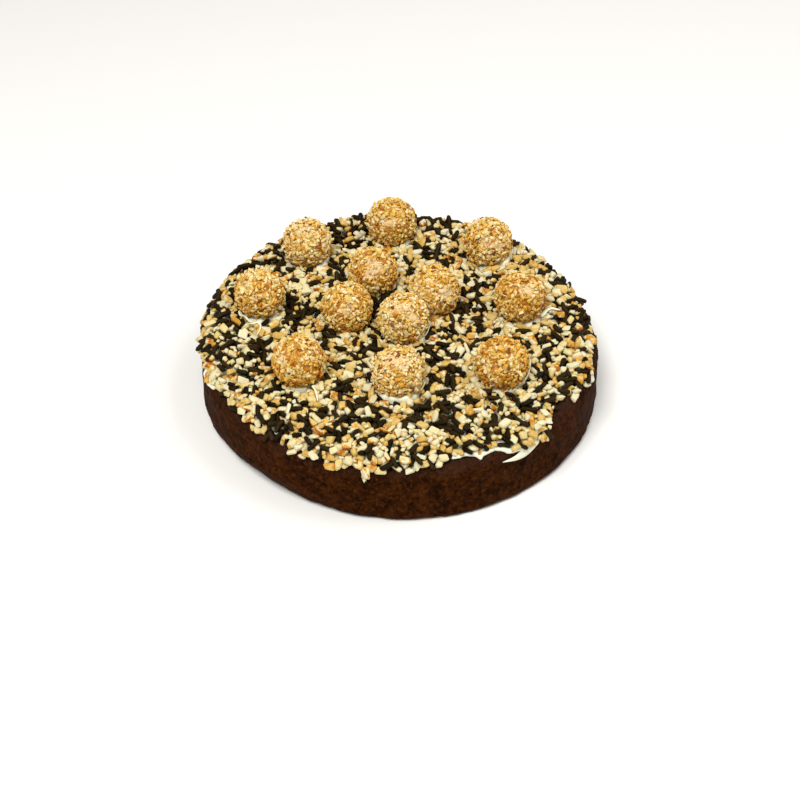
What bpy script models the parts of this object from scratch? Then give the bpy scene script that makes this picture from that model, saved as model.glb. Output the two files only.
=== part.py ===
"""Round brownie cake: a dark sponge, white icing draped over its top with chopped nuts and
dark sprinkles stuck in it, and twelve nut-coated truffles seated in the icing.

The origin is the centre of the cake's flat base, +Z is up, and the cake's front is towards -Y.
"""

import math

import bmesh
import bpy
import numpy as np
from mathutils import Matrix, Vector

MM = 0.001

# The sponge
CAKE_RADIUS = 85 * MM
SIDE_TAPER = 0.7 * MM  # the side leans in by this much from foot to shoulder
CAKE_HEIGHT = 26 * MM
SHOULDER_RADIUS = 6 * MM
FOOT_RADIUS = 2.8 * MM
DENT_DEPTH = 0.45 * MM
TUCK_DEPTH = 5 * MM  # the front left of the foot is drawn in under the cake
TUCK_HEIGHT = 11 * MM
TUCK_AZIMUTH, TUCK_HALF_WIDTH = math.radians(-132), math.radians(22)
ROUND_STEPS = 64

# The icing
TOUCH_GAP = 0.3 * MM
CHORD_ALLOWANCE = 0.4 * MM  # how far a flat facet may dip below the round shoulder
ALLOWANCE_REACH = 6 * MM  # the allowance grows over this width, up to the shoulder
ICING_THICKNESS = 1.8 * MM
EDGE_THICKNESS = 0.8 * MM
EDGE_TAPER = 6 * MM  # the icing thins over this width, up to its edge
ICING_REACH = 84.5 * MM  # from the axis to the icing's edge, along the sponge's skin
ICING_RINGS = (0.5, 0.9, 0.935, 0.968, 1.0)  # as shares of the way to the edge
BARE_SHOULDERS = (
    # middle azimuth, half width, and how far the edge draws back there
    (math.radians(-76), math.radians(14), 5.0 * MM),
    (math.radians(-35), math.radians(15), 6.0 * MM),
)

# The truffles: a ring of eight and, inside it, a ring of four, each laid by hand
TRUFFLE_RADIUS = 11.5 * MM
TRUFFLE_SINK = 0.7 * MM
CRUMB_DEPTH = 0.8 * MM
TRUFFLE_SEED = 100
OUTER_RING = {"centre": (-2 * MM, 10.8 * MM), "radius": 56 * MM, "first": 0.0}
INNER_RING = {"centre": (-4.7 * MM, 12.5 * MM), "radius": 18.8 * MM, "first": 20.0}
# how far each truffle strays from its even place: outwards in millimetres, then round in degrees
OUTER_STRAYS = ((-3, 0), (1.5, -0.5), (-1, 2), (-1, 0), (1.5, -2), (2, 3), (-6, 1.5), (5.5, -0.5))
INNER_STRAYS = ((1, -13), (-1, 3), (1, 7), (-1, 0))
# icing squeezed out from under some truffles: number, reach, rise, and the way it bulges in degrees
COLLARS = (
    (1, 10.5, 4.6, -40),
    (3, 10.5, 4.8, -45),
    (5, 11.0, 5.2, -90),
    (8, 11.0, 5.2, -50),
    (9, 10.0, 4.6, -30),
    (10, 11.5, 5.4, -80),
    (11, 12.0, 6.0, -90),
    (12, 10.5, 4.6, -40),
)
COLLAR_SHIFT = 1.2 * MM

# What is strewn on the icing
NUT_LENGTH, NUT_WIDTH, NUT_HEIGHT = 5.0 * MM, 3.6 * MM, 2.6 * MM
SPRINKLE_LENGTH, SPRINKLE_WIDTH = 6.8 * MM, 2.2 * MM
NUT_LIFT, SPRINKLE_LIFT = 0.8 * MM, 0.5 * MM  # from the icing's top to the piece's middle
STREWN_COUNT = 190
RIM_COUNT = 32
RIM_WIDTH = 3 * MM
TRUFFLE_CLEARANCE = 10.2 * MM
STREWN_SEED = 11
NUT_SHAPES, NUT_CORNERS, NUT_SEED = 10, 8, 200
NUT_BLOCKINESS = 0.6  # 0 is a ball, 1 a box
SPRINKLE_SIDES = 5
MOST_TIP, MOST_LEAN = 0.16, 0.3  # radians, along a piece and across it
SIZE_RANGE = (0.9, 1.15)
RIM_INSET = (0.3 * MM, 1.5 * MM)
SPRINKLE_BLOTCH = 0.45  # the higher, the smaller the patches of sprinkles

FLAT_RADIUS = CAKE_RADIUS - SIDE_TAPER - SHOULDER_RADIUS  # of the sponge's flat top
GOLDEN_ANGLE = math.pi * (3 - math.sqrt(5))


def clear_scene():
    for obj in list(bpy.data.objects):
        bpy.data.objects.remove(obj, do_unlink=True)


def new_collection(name):
    collection = bpy.data.collections.new(name)
    bpy.context.scene.collection.children.link(collection)
    return collection


def new_object(name, mesh, collection):
    obj = bpy.data.objects.new(name, mesh)
    collection.objects.link(obj)
    return obj


def plain_material(name, colour, roughness):
    material = bpy.data.materials.new(name)
    material.use_nodes = True
    shader = material.node_tree.nodes["Principled BSDF"]
    shader.inputs["Base Color"].default_value = (*colour, 1.0)
    shader.inputs["Roughness"].default_value = roughness
    shader.inputs["Metallic"].default_value = 0.0
    material.diffuse_color = (*colour, 1.0)
    return material


def apply_modifiers(obj):
    """Gives the object the mesh that its modifiers make, and takes the modifiers off."""
    bpy.context.view_layer.update()
    graph = bpy.context.evaluated_depsgraph_get()
    mesh = bpy.data.meshes.new_from_object(obj.evaluated_get(graph))
    obj.modifiers.clear()
    obj.data = mesh
    mesh.name = obj.name


def turned(name, profile, steps, collection):
    """A profile of (radius, height) points turned once round the Z axis."""
    mesh = bpy.data.meshes.new(name)
    rows = range(len(profile) - 1)
    mesh.from_pydata([(radius, 0, height) for radius, height in profile], [(i, i + 1) for i in rows], [])
    obj = new_object(name, mesh, collection)
    screw = obj.modifiers.new("turn", "SCREW")
    screw.steps = screw.render_steps = steps
    screw.use_merge_vertices = True
    screw.merge_threshold = 0.00001
    screw.use_smooth_shade = True
    apply_modifiers(obj)
    return obj


def arc(centre, radius, start, end, steps):
    """Points on an arc of the profile, from one angle to another, in degrees."""
    angles = np.radians(np.linspace(start, end, steps + 1))
    return [(centre[0] + radius * math.cos(a), centre[1] + radius * math.sin(a)) for a in angles]


def move_points(obj, moved):
    """Puts each point of the mesh where the function moved(points) says."""
    count = len(obj.data.vertices)
    points = np.empty(count * 3)
    obj.data.vertices.foreach_get("co", points)
    points = moved(points.reshape(count, 3))
    obj.data.vertices.foreach_set("co", points.ravel())
    obj.data.update()


# The sponge ---------------------------------------------------------------------------------


def sponge_profile():
    """Down the outside: flat top, round shoulder, nearly upright side, round foot, flat base."""
    shoulder = arc((FLAT_RADIUS, CAKE_HEIGHT - SHOULDER_RADIUS), SHOULDER_RADIUS, 90, 0, 4)
    foot = arc((CAKE_RADIUS - FOOT_RADIUS, FOOT_RADIUS), FOOT_RADIUS, 0, -90, 3)
    top, bottom = Vector(shoulder[-1]), Vector(foot[0])
    side = [tuple(top.lerp(bottom, share)) for share in (0.33, 0.67)]
    return [(0, CAKE_HEIGHT), *shoulder, *side, *foot, (0, 0)]


def dent(azimuth, height):
    """How far the baked side is drawn in: broad waves round it crossed by shorter ones, 0 to 1."""
    broad = np.sin(3 * azimuth + 0.6) + 0.7 * np.sin(8 * azimuth + 2 + height / (9 * MM))
    short = 0.6 * np.sin(17 * azimuth - height / (4 * MM)) + 0.5 * np.sin(29 * azimuth + 1)
    return np.clip(0.5 + (broad + short) / 5, 0, 1)


def angle_from(azimuth, middle):
    """The angle from one azimuth to another, the short way round."""
    return (azimuth - middle + math.pi) % (2 * math.pi) - math.pi


def tuck(azimuth, height):
    """How far the foot is drawn in under the cake at the front left, 0 to 1: most at the base."""
    sector = np.exp(-((angle_from(azimuth, TUCK_AZIMUTH) / TUCK_HALF_WIDTH) ** 2))
    return sector * np.clip(1 - height / TUCK_HEIGHT, 0, 1) ** 2


def baked_side(points):
    """The sponge's points drawn inwards by the dents and the tuck, on its side and foot alone."""
    radius = np.hypot(points[:, 0], points[:, 1])
    azimuth = np.arctan2(points[:, 1], points[:, 0])
    height = points[:, 2]
    on_side = (radius > CAKE_RADIUS / 2) & (height < CAKE_HEIGHT - SHOULDER_RADIUS + 0.1 * MM)
    depth = DENT_DEPTH * dent(azimuth, height) + TUCK_DEPTH * tuck(azimuth, height)
    depth = np.where(on_side, depth, 0)
    moved = points.copy()
    moved[:, :2] *= (1 - depth / np.maximum(radius, MM))[:, None]
    return moved


def make_brownie(collection):
    obj = turned("brownie", sponge_profile(), ROUND_STEPS, collection)
    move_points(obj, baked_side)
    obj.data.shade_smooth()
    obj.data.set_sharp_from_angle(angle=math.radians(50))
    obj.data.materials.append(plain_material("brownie_crumb", (0.042, 0.014, 0.006), 0.75))


# The icing's skin ---------------------------------------------------------------------------


def icing_edge(azimuth):
    """Distance along the skin from the axis to the icing's edge: waves, and two bare shoulders."""
    waves = 1.0 * np.sin(4 * azimuth + 1.0) + 0.8 * np.sin(9 * azimuth + 2.2) + 0.5 * np.sin(15 * azimuth)
    edge = ICING_REACH + waves * MM
    for middle, half_width, drawn_back in BARE_SHOULDERS:
        edge = edge - drawn_back * np.exp(-((angle_from(azimuth, middle) / half_width) ** 2))
    return edge


def skin(reach, lift):
    """Radius, height and slope of the cake's top skin at a distance along it from the axis: flat
    as far as the shoulder, then round it, lifted clear of the sponge by a named amount."""
    slope = np.clip((reach - FLAT_RADIUS) / SHOULDER_RADIUS, 0, math.pi / 2)
    radius = np.minimum(reach, FLAT_RADIUS) + (SHOULDER_RADIUS + lift) * np.sin(slope)
    height = CAKE_HEIGHT - SHOULDER_RADIUS + (SHOULDER_RADIUS + lift) * np.cos(slope)
    return radius, height, slope


def draped(points):
    """A flat disc of radius 1 laid over the sponge, out to the icing's edge."""
    azimuth = np.arctan2(points[:, 1], points[:, 0])
    reach = np.hypot(points[:, 0], points[:, 1]) * icing_edge(azimuth)
    at_shoulder = np.clip((reach - FLAT_RADIUS) / ALLOWANCE_REACH + 1, 0, 1)
    radius, height, _ = skin(reach, TOUCH_GAP + CHORD_ALLOWANCE * at_shoulder)
    return np.stack([radius * np.cos(azimuth), radius * np.sin(azimuth), height], axis=1)


def icing_thickness(to_edge):
    """The icing's thickness at a distance inwards from its edge."""
    share = min(max(to_edge / EDGE_TAPER, 0), 1)
    return EDGE_THICKNESS + (ICING_THICKNESS - EDGE_THICKNESS) * math.sqrt(share)


def make_icing_sheet(collection):
    disc = [(0, 0)] + [(share, 0) for share in ICING_RINGS]
    obj = turned("icing", disc, ROUND_STEPS, collection)
    weights = obj.vertex_groups.new(name="thickness")
    for point in obj.data.vertices:
        to_edge = ICING_REACH * (1 - point.co.xy.length)
        weights.add([point.index], icing_thickness(to_edge) / ICING_THICKNESS, "REPLACE")
    move_points(obj, draped)
    thick = obj.modifiers.new("thickness", "SOLIDIFY")
    thick.thickness = ICING_THICKNESS
    thick.offset = 1
    thick.use_even_offset = False
    thick.vertex_group = weights.name
    apply_modifiers(obj)
    return obj


# The truffles' places -----------------------------------------------------------------------


def ring_places(ring, strays):
    """Even places round a ring, each moved by its own stray."""
    places = []
    for number, (outwards, round_by) in enumerate(strays):
        angle = math.radians(ring["first"] + 360 * number / len(strays) + round_by)
        radius = ring["radius"] + outwards * MM
        places.append(
            (ring["centre"][0] + radius * math.cos(angle), ring["centre"][1] + radius * math.sin(angle))
        )
    return places


def truffle_places():
    """Centres of the twelve truffles, numbered from the back row to the front, left to right."""
    height = CAKE_HEIGHT + TOUCH_GAP + ICING_THICKNESS - TRUFFLE_SINK + TRUFFLE_RADIUS
    right, back_right, back, back_left, left, front_left, front, front_right = ring_places(
        OUTER_RING, OUTER_STRAYS
    )
    inner_right, inner_back, inner_left, inner_front = ring_places(INNER_RING, INNER_STRAYS)
    rows = (
        back_left, back, back_right, inner_back, left, inner_left, inner_right, right,
        inner_front, front_left, front, front_right,
    )
    return [Vector((x, y, height)) for x, y in rows]


def ball(radius):
    """A round ball as a mesh of its own."""
    mesh = bpy.data.meshes.new("ball")
    form = bmesh.new()
    bmesh.ops.create_icosphere(form, subdivisions=3, radius=radius)
    form.to_mesh(mesh)
    form.free()
    return mesh


def make_truffle(number, place, material, collection):
    """A ball whose coat of crumbs is bumps of a crumb's depth, inwards from its full radius."""
    obj = new_object(f"truffle_{number:02d}", ball(TRUFFLE_RADIUS), collection)
    draw = np.random.default_rng(TRUFFLE_SEED + number)
    shrink = 1 - CRUMB_DEPTH / TRUFFLE_RADIUS * draw.random(len(obj.data.vertices))
    move_points(obj, lambda points: points * shrink[:, None])
    obj.location = place
    obj.data.shade_smooth()
    obj.data.materials.append(material)


# What is strewn on the icing ----------------------------------------------------------------


def nut_mesh(number):
    """A chip of chopped nut: the hull of eight random points on a form between box and ball."""
    draw = np.random.default_rng(NUT_SEED + number)
    ways = draw.normal(size=(NUT_CORNERS, 3))
    to_box = np.abs(ways).max(axis=1, keepdims=True)
    to_ball = np.linalg.norm(ways, axis=1, keepdims=True)
    ways /= to_box**NUT_BLOCKINESS * to_ball ** (1 - NUT_BLOCKINESS)
    half = np.array((NUT_LENGTH, NUT_WIDTH, NUT_HEIGHT)) / 2
    form = bmesh.new()
    for way in ways / np.abs(ways).max(axis=0):
        form.verts.new(way * half)
    hull = bmesh.ops.convex_hull(form, input=form.verts)
    bmesh.ops.delete(form, geom=hull["geom_interior"] + hull["geom_unused"], context="VERTS")
    bmesh.ops.recalc_face_normals(form, faces=form.faces)
    mesh = bpy.data.meshes.new(f"nut_{number}")
    form.to_mesh(mesh)
    form.free()
    return mesh


def sprinkle_mesh():
    """A short rod with six sides and blunt, tapered ends, lying along X."""
    form = bmesh.new()
    width = SPRINKLE_WIDTH / 2
    bmesh.ops.create_cone(
        form, cap_ends=True, segments=SPRINKLE_SIDES, radius1=width, radius2=width, depth=SPRINKLE_LENGTH
    )
    bmesh.ops.rotate(form, verts=form.verts, matrix=Matrix.Rotation(math.pi / 2, 3, "Y"))
    mesh = bpy.data.meshes.new("sprinkle")
    form.to_mesh(mesh)
    form.free()
    return mesh


def is_sprinkle_patch(x, y):
    """Whether dark sprinkles lie thickest here: blotches a couple of centimetres across."""
    blotch = math.sin(x / (7 * MM) + 2 * math.sin(y / (11 * MM))) + math.sin(y / (6 * MM) + x / (16 * MM))
    return blotch > SPRINKLE_BLOTCH


def strewn_places():
    """(reach, azimuth) of each piece: a sunflower's spiral, which is even all over, then the rim."""
    draw = np.random.default_rng(STREWN_SEED)
    for number in range(STREWN_COUNT):
        azimuth = number * GOLDEN_ANGLE % (2 * math.pi)
        edge = float(icing_edge(azimuth)) - RIM_WIDTH
        yield edge * math.sqrt((number + 0.5) / STREWN_COUNT), azimuth
    for number in range(RIM_COUNT):
        azimuth = 2 * math.pi * (number + draw.uniform(0, 0.6)) / RIM_COUNT
        yield float(icing_edge(azimuth)) - draw.uniform(*RIM_INSET), azimuth


def strew(places, nuts, sprinkle, collection):
    """Lays nuts and sprinkles on the icing, a little sunk in it, clear of the truffles."""
    draw = np.random.default_rng(STREWN_SEED + 1)
    for number, (reach, azimuth) in enumerate(strewn_places()):
        on_rim = number >= STREWN_COUNT
        is_sprinkle = is_sprinkle_patch(reach * math.cos(azimuth), reach * math.sin(azimuth)) and not on_rim
        top = TOUCH_GAP + icing_thickness(float(icing_edge(azimuth)) - reach)
        lift = top + (SPRINKLE_LIFT if is_sprinkle else NUT_LIFT)
        radius, height, slope = (float(value) for value in skin(reach, lift))
        spin = draw.uniform(0, 2 * math.pi)
        tip, lean = draw.uniform(-MOST_TIP, MOST_TIP), draw.uniform(-MOST_LEAN, MOST_LEAN)
        size = draw.uniform(*SIZE_RANGE)
        place = Vector((radius * math.cos(azimuth), radius * math.sin(azimuth), height))
        if min((place.xy - truffle.xy).length for truffle in places) < TRUFFLE_CLEARANCE:
            continue
        mesh = sprinkle if is_sprinkle else nuts[number % len(nuts)]
        obj = new_object(f"strewn_{number}", mesh, collection)
        obj.matrix_world = (
            Matrix.Translation(place)
            @ Matrix.Rotation(azimuth, 4, "Z")
            @ Matrix.Rotation(slope, 4, "Y")
            @ Matrix.Rotation(spin, 4, "Z")
            @ Matrix.Rotation(tip, 4, "Y")
            @ Matrix.Rotation(0 if is_sprinkle else lean, 4, "X")
            @ Matrix.Scale(size, 4)
        )


def lay_collars(places, collection):
    """A low mound of icing under each truffle that has one, bulging to one side."""
    for number, reach, rise, way in COLLARS:
        mesh = bpy.data.meshes.new("collar")
        form = bmesh.new()
        bmesh.ops.create_uvsphere(form, u_segments=14, v_segments=8, radius=1)
        for point in form.verts:
            point.co.z = max(point.co.z, 0)
        form.to_mesh(mesh)
        form.free()
        obj = new_object(f"collar_{number}", mesh, collection)
        aside = Vector((math.cos(math.radians(way)), math.sin(math.radians(way)), 0)) * COLLAR_SHIFT
        place = places[number - 1] + aside
        place.z = CAKE_HEIGHT + TOUCH_GAP + 0.5 * ICING_THICKNESS
        size = Matrix.Diagonal((reach * MM, reach * MM, rise * MM, 1))
        obj.matrix_world = Matrix.Translation(place) @ size


def join(obj, collection, operation, solver):
    """Joins a whole collection to the object, or cuts it away, and removes the collection."""
    boolean = obj.modifiers.new(operation.lower(), "BOOLEAN")
    boolean.operation = operation
    boolean.operand_type = "COLLECTION"
    boolean.collection = collection
    boolean.solver = solver
    apply_modifiers(obj)
    for part in list(collection.objects):
        bpy.data.objects.remove(part, do_unlink=True)
    bpy.data.collections.remove(collection)


def bodies_of(form):
    """The separate bodies in a mesh, each as the set of its points."""
    left = set(form.verts)
    while left:
        body, edge = set(), {left.pop()}
        while edge:
            body |= edge
            edge = {bond.other_vert(point) for point in edge for bond in point.link_edges} - body
        left -= body
        yield body


def drop_scraps(obj):
    """Keeps the largest body of the mesh, and drops what hangs loose beside it."""
    form = bmesh.new()
    form.from_mesh(obj.data)
    bodies = sorted(bodies_of(form), key=len)
    for body in bodies[:-1]:
        bmesh.ops.delete(form, geom=list(body), context="VERTS")
    form.to_mesh(obj.data)
    form.free()


def make_icing(places, collection):
    icing = make_icing_sheet(collection)
    strewn = new_collection("strewn")
    lay_collars(places, strewn)
    strew(places, [nut_mesh(number) for number in range(NUT_SHAPES)], sprinkle_mesh(), strewn)
    join(icing, strewn, "UNION", "MANIFOLD")
    seats = new_collection("seats")
    for number, place in enumerate(places, start=1):
        seat = new_object(f"seat_{number}", ball(TRUFFLE_RADIUS + TOUCH_GAP), seats)
        seat.location = place
    join(icing, seats, "DIFFERENCE", "MANIFOLD")
    drop_scraps(icing)
    icing.data.shade_flat()
    icing.data.materials.clear()
    icing.data.materials.append(plain_material("iced_topping", (0.62, 0.50, 0.26), 0.6))


def main():
    clear_scene()
    cake = new_collection("brownie_cake")
    places = truffle_places()
    make_brownie(cake)
    make_icing(places, cake)
    coat = plain_material("nut_coat", (0.62, 0.37, 0.14), 0.65)
    for number, place in enumerate(places, start=1):
        make_truffle(number, place, coat, cake)


main()
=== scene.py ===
"""The looks of a round brownie cake: baked sponge, white icing, a layer of chopped nuts and dark
sprinkles, and twelve nut-coated truffles. Metres, +Z up, the cake's front towards -Y."""

import math

import bmesh
import bpy
import numpy as np
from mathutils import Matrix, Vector


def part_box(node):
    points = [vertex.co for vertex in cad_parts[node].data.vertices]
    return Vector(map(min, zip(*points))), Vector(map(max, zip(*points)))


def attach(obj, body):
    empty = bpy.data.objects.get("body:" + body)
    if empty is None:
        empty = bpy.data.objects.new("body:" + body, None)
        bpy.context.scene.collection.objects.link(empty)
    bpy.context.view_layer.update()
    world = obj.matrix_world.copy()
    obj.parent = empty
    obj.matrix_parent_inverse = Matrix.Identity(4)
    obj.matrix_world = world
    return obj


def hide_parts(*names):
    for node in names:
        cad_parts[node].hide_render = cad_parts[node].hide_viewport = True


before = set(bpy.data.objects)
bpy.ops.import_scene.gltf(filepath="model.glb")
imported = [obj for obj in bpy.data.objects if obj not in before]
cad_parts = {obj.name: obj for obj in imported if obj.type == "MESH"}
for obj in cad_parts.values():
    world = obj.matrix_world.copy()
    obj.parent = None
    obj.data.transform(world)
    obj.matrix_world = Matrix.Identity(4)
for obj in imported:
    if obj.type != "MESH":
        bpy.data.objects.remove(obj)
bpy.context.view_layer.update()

MM = 0.001
TURN = 2 * math.pi
GOLDEN_ANGLE = math.pi * (3 - math.sqrt(5))

# The sponge and the skin that the icing follows, as in the solids
CAKE_RADIUS, SIDE_TAPER = 85 * MM, 0.7 * MM
CAKE_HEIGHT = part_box("brownie")[1].z
SHOULDER_RADIUS, FOOT_RADIUS = 6 * MM, 2.8 * MM
FLAT_RADIUS = CAKE_RADIUS - SIDE_TAPER - SHOULDER_RADIUS
DENT_DEPTH = 0.45 * MM
TUCK_DEPTH, TUCK_HEIGHT = 5 * MM, 11 * MM
TUCK_AZIMUTH, TUCK_HALF_WIDTH = math.radians(-132), math.radians(22)

# The icing
TOUCH_GAP = 0.3 * MM
ICING_THICKNESS, EDGE_THICKNESS, EDGE_TAPER = 1.8 * MM, 0.8 * MM, 6 * MM
ICING_TOP = CAKE_HEIGHT + TOUCH_GAP + ICING_THICKNESS
ICING_REACH = 84.5 * MM
# the solid's bare shoulders: middle azimuth, half width, and how far the edge draws back there
BARE_SHOULDERS = (
    (math.radians(-76), math.radians(14), 5.0 * MM),
    (math.radians(-35), math.radians(15), 6.0 * MM),
)
# The lower edge of all that lies on the cake: azimuth in degrees, reach along the skin in
# millimetres
EDGE_MARKS = (
    (-180, 85.2), (-175, 85.2), (-168, 83.7), (-163, 85.4), (-160, 84.9), (-157, 83.4),
    (-154, 82.1), (-151, 81.5), (-146, 82.1), (-141, 82.0), (-136, 82.3), (-133, 83.3),
    (-130.4, 81.7), (-128.7, 83.4), (-126, 82.3), (-125, 80.9), (-121, 82.0), (-116.7, 83.8),
    (-113, 84.4), (-111, 83.8), (-107.3, 84.6), (-104.5, 82.8), (-100.6, 82.4), (-98.7, 84.6),
    (-97.5, 83.4), (-93.6, 83.4), (-91, 82.3), (-87.7, 82.7), (-84, 81.8), (-82, 80.6),
    (-80.7, 80.1), (-79, 81.4), (-77, 80.0), (-75.5, 78.7), (-74, 78.9), (-71, 79.1),
    (-68.4, 80.2), (-67.3, 82.6), (-66.3, 80.9), (-64, 80.6), (-62.5, 80.3), (-61, 81.2),
    (-59.4, 82.9), (-56, 84.2), (-51.6, 85.3), (-48, 86.2), (-45, 85.6), (-43, 83.1), (-40, 80.0),
    (-37, 79.3), (-35, 78.3), (-32.4, 77.5), (-31.4, 76.9), (-29.8, 79.3), (-29, 82.0),
    (-26, 81.2), (-23, 81.8), (-20.3, 83.5), (-17.7, 84.9), (-16, 83.4), (-10.8, 81.2),
    (-3.7, 81.6), (4, 81.8), (13, 81.0), (24, 82.0), (37, 82.6), (49, 84.6), (61, 84.2),
    (74, 85.1), (86, 83.6), (99, 85.3), (112, 84.6), (125, 86.0), (139, 85.3), (151, 86.4),
    (165, 86.0),
)
# Where the icing itself makes that edge, from and to in degrees; elsewhere what is strewn hangs a
# little over the icing
ICING_SHOWS = ((-76.5, -53), (-166, -156), (-20, -7))
OVERHANG = 4.0 * MM

# Icing squeezed out from under some truffles: the truffle's number, the way it bulges and how far
# to either side in degrees, then how high it climbs and how thick it is in millimetres
LIPS = (
    (1, -25, 50, 3.8, 1.5),
    (2, -35, 30, 3.0, 1.0),
    (3, -20, 42, 5.0, 0.9),
    (3, -80, 60, 2.6, 1.8),
    (5, -95, 50, 3.4, 1.8),
    (5, -40, 30, 3.6, 1.0),
    (8, -45, 50, 3.4, 2.0),
    (9, -35, 42, 5.4, 0.6),
    (10, -88, 40, 4.0, 0.8),
    (11, -90, 72, 5.9, 0.35),
    (11, -30, 30, 4.6, 0.5),
    (12, -50, 55, 4.2, 0.5),
    (12, -95, 30, 3.6, 0.8),
)

# What is strewn on the icing. The first pieces are the ones fused to the solid, drawn as there:
# their full sizes, how far their middles lie over the icing, how many lie along a spiral and on the
# rim, the rim's width and the seed; how far in from the edge those on the rim lie, and from the
# drawn edge all of them; their scale; how far they tip and lean, in radians; how strong the waves
# are where they are sprinkles; and how near to a truffle's middle none lies
NUT_SIZE = np.array((5.0, 3.6, 2.6)) * MM
SPRINKLE_SIZE = np.array((6.8, 2.2, 2.2)) * MM
NUT_LIFT, SPRINKLE_LIFT = 0.8 * MM, 0.5 * MM
STREWN_COUNT, RIM_COUNT, RIM_WIDTH, STREWN_SEED = 190, 32, 3 * MM, 11
RIM_INSET = (0.3 * MM, 1.5 * MM)
FUSED_INSET = 0.9 * MM
SIZE_RANGE = (0.9, 1.15)
MOST_TIP, MOST_LEAN = 0.16, 0.3
SPRINKLE_BLOTCH = 0.45
TRUFFLE_CLEARANCE = 10.2 * MM
# how many more are laid, at most, and how deep the heap can get: at the edge, and how much deeper a
# strip in from it
HEAP_COUNT = 11000
EDGE_DEPTH, MORE_DEPTH, EDGE_STRIP = 2.0 * MM, 1.5 * MM, 10 * MM
# each piece takes the thinnest of so many places, none nearer to the edge than the inset; how far
# over the skin a piece's middle lies, and that of the listed pieces
PLACE_TRIES, PLACE_INSET = 8, 1.3 * MM
MIDDLE_LIFT, MARKED_LIFT = 1.2 * MM, 1.5 * MM
# the share of slivers, that of slivers and bits, and how much the latter grows; how much smaller
# the nuts on the rim and in the gaps are
SLIVER_SHARE, SMALL_SHARE, MORE_SMALL = 0.10, 0.20, 0.22
RIM_SCALE, GAP_SCALE = 0.88, 0.9
# the scatter of pieces' tips and leans, in radians, and the share of a slope that they lie along
TIP, GAP_TIP, LEAN, ALONG_SKIN, ALONG_HEAP = 0.17, 0.2, 0.3, 0.9, 0.75
# how much likelier a sprinkle is where little lies, and how little that is; its least and greatest
# chance
FIRST_SPRINKLES, LITTLE, CHANCE_RANGE = 0.16, 1.0 * MM, (0.03, 0.93)
# a sprinkle's length and its width as shares of its size: the least, and how much more
SPRINKLE_LONG, SPRINKLE_WIDE = (0.70, 0.36), (0.90, 0.18)
# pieces laid close round each truffle: how far from its middle, and how many
SKIRT_ROWS = ((9.6 * MM, 26), (11.3 * MM, 30))
SKIRT_SCATTER, ROW_SCATTER = 0.8 * MM, math.radians(1.5)
# rows laid along the edge first: distance in from it, its scatter, and how many
RIM_ROWS = ((1.3 * MM, 0.5 * MM, 190), (2.7 * MM, 0.8 * MM, 180), (4.2 * MM, 0.9 * MM, 170))

# The camera, from the cake's outline in the photograph
CAMERA_PLACE = Vector((0.07, -548.2, 467.7)) * MM
CAMERA_PITCH = math.radians(41.05)  # below the horizon
CAMERA_LENS, SENSOR = 74.63, 36.0  # millimetres


# Noise and arrays


def looked_up(table, cells):
    """The entries of a table, repeated over a cubic lattice, for arrays of its cells."""
    return table[tuple(np.moveaxis(cells % len(table), -1, 0))]


def lattice_noise(points, size, seed):
    """Value noise from -1 to 1: random numbers on a cubic lattice of the given spacing, blended
    between the eight corners round a point with the weight 3t^2 - 2t^3."""
    table = np.random.default_rng(seed).uniform(-1, 1, (32, 32, 32))
    scaled = np.asarray(points) / size
    cell = np.floor(scaled).astype(int)
    part = scaled - cell
    part = part * part * (3 - 2 * part)
    total = 0
    for corner in np.ndindex(2, 2, 2):
        sides = [part[..., k] if corner[k] else 1 - part[..., k] for k in range(3)]
        total = total + np.prod(sides, axis=0) * looked_up(table, cell + corner)
    return total


def layered_noise(points, size, seed, layers=3):
    """Lattice noise summed over layers, each of half the spacing and half the strength."""
    return sum(lattice_noise(points, size / 2**k, seed + k) / 2**k for k in range(layers))


def pits(points, size, share, seed):
    """Round pits from 0, none, to 1, deepest: one jittered seed in each cell of a cubic lattice,
    a share of which are pits, with depth (1 - (distance / radius)^2)^2 round each seed."""
    table = np.random.default_rng(seed).random((16, 16, 16, 5))
    scaled = np.asarray(points) / size
    depth = 0
    for step in np.ndindex(3, 3, 3):
        near = np.floor(scaled).astype(int) + np.array(step) - 1
        drawn = looked_up(table, near)
        away = np.linalg.norm(scaled - near - drawn[..., :3], axis=-1)
        radius = 0.22 + 0.4 * drawn[..., 4]
        bowl = np.clip(1 - (away / radius) ** 2, 0, 1) ** 2 * (0.4 + 0.6 * drawn[..., 4])
        depth = np.maximum(depth, np.where(drawn[..., 3] < share, bowl, 0))
    return depth


def angle_from(azimuth, middle):
    """The angle from one azimuth to another, the short way round."""
    return (azimuth - middle + math.pi) % TURN - math.pi


def around(count):
    """Azimuths evenly round the turn."""
    return np.arange(count) / count * TURN


def spiral(count):
    """Heights from 1 down to -1 and azimuths of a sunflower's spiral over a unit ball."""
    number = np.arange(count)
    return 1 - 2 * (number + 0.5) / count, number * GOLDEN_ANGLE


def polar(radius, azimuth, height):
    """Points from radii, azimuths and heights."""
    across, along = radius * np.cos(azimuth), radius * np.sin(azimuth)
    return np.stack(np.broadcast_arrays(across, along, height), axis=-1)


def unit(vectors):
    return vectors / np.maximum(np.linalg.norm(vectors, axis=-1, keepdims=True), 1e-9)


def from_view(right, up, near=0.0):
    """Vectors from their parts to the camera's right, upwards in its view and nearer to it."""
    sine, cosine = math.sin(CAMERA_PITCH), math.cos(CAMERA_PITCH)
    return np.stack([right, up * sine - near * cosine, up * cosine + near * sine], axis=-1)


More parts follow.
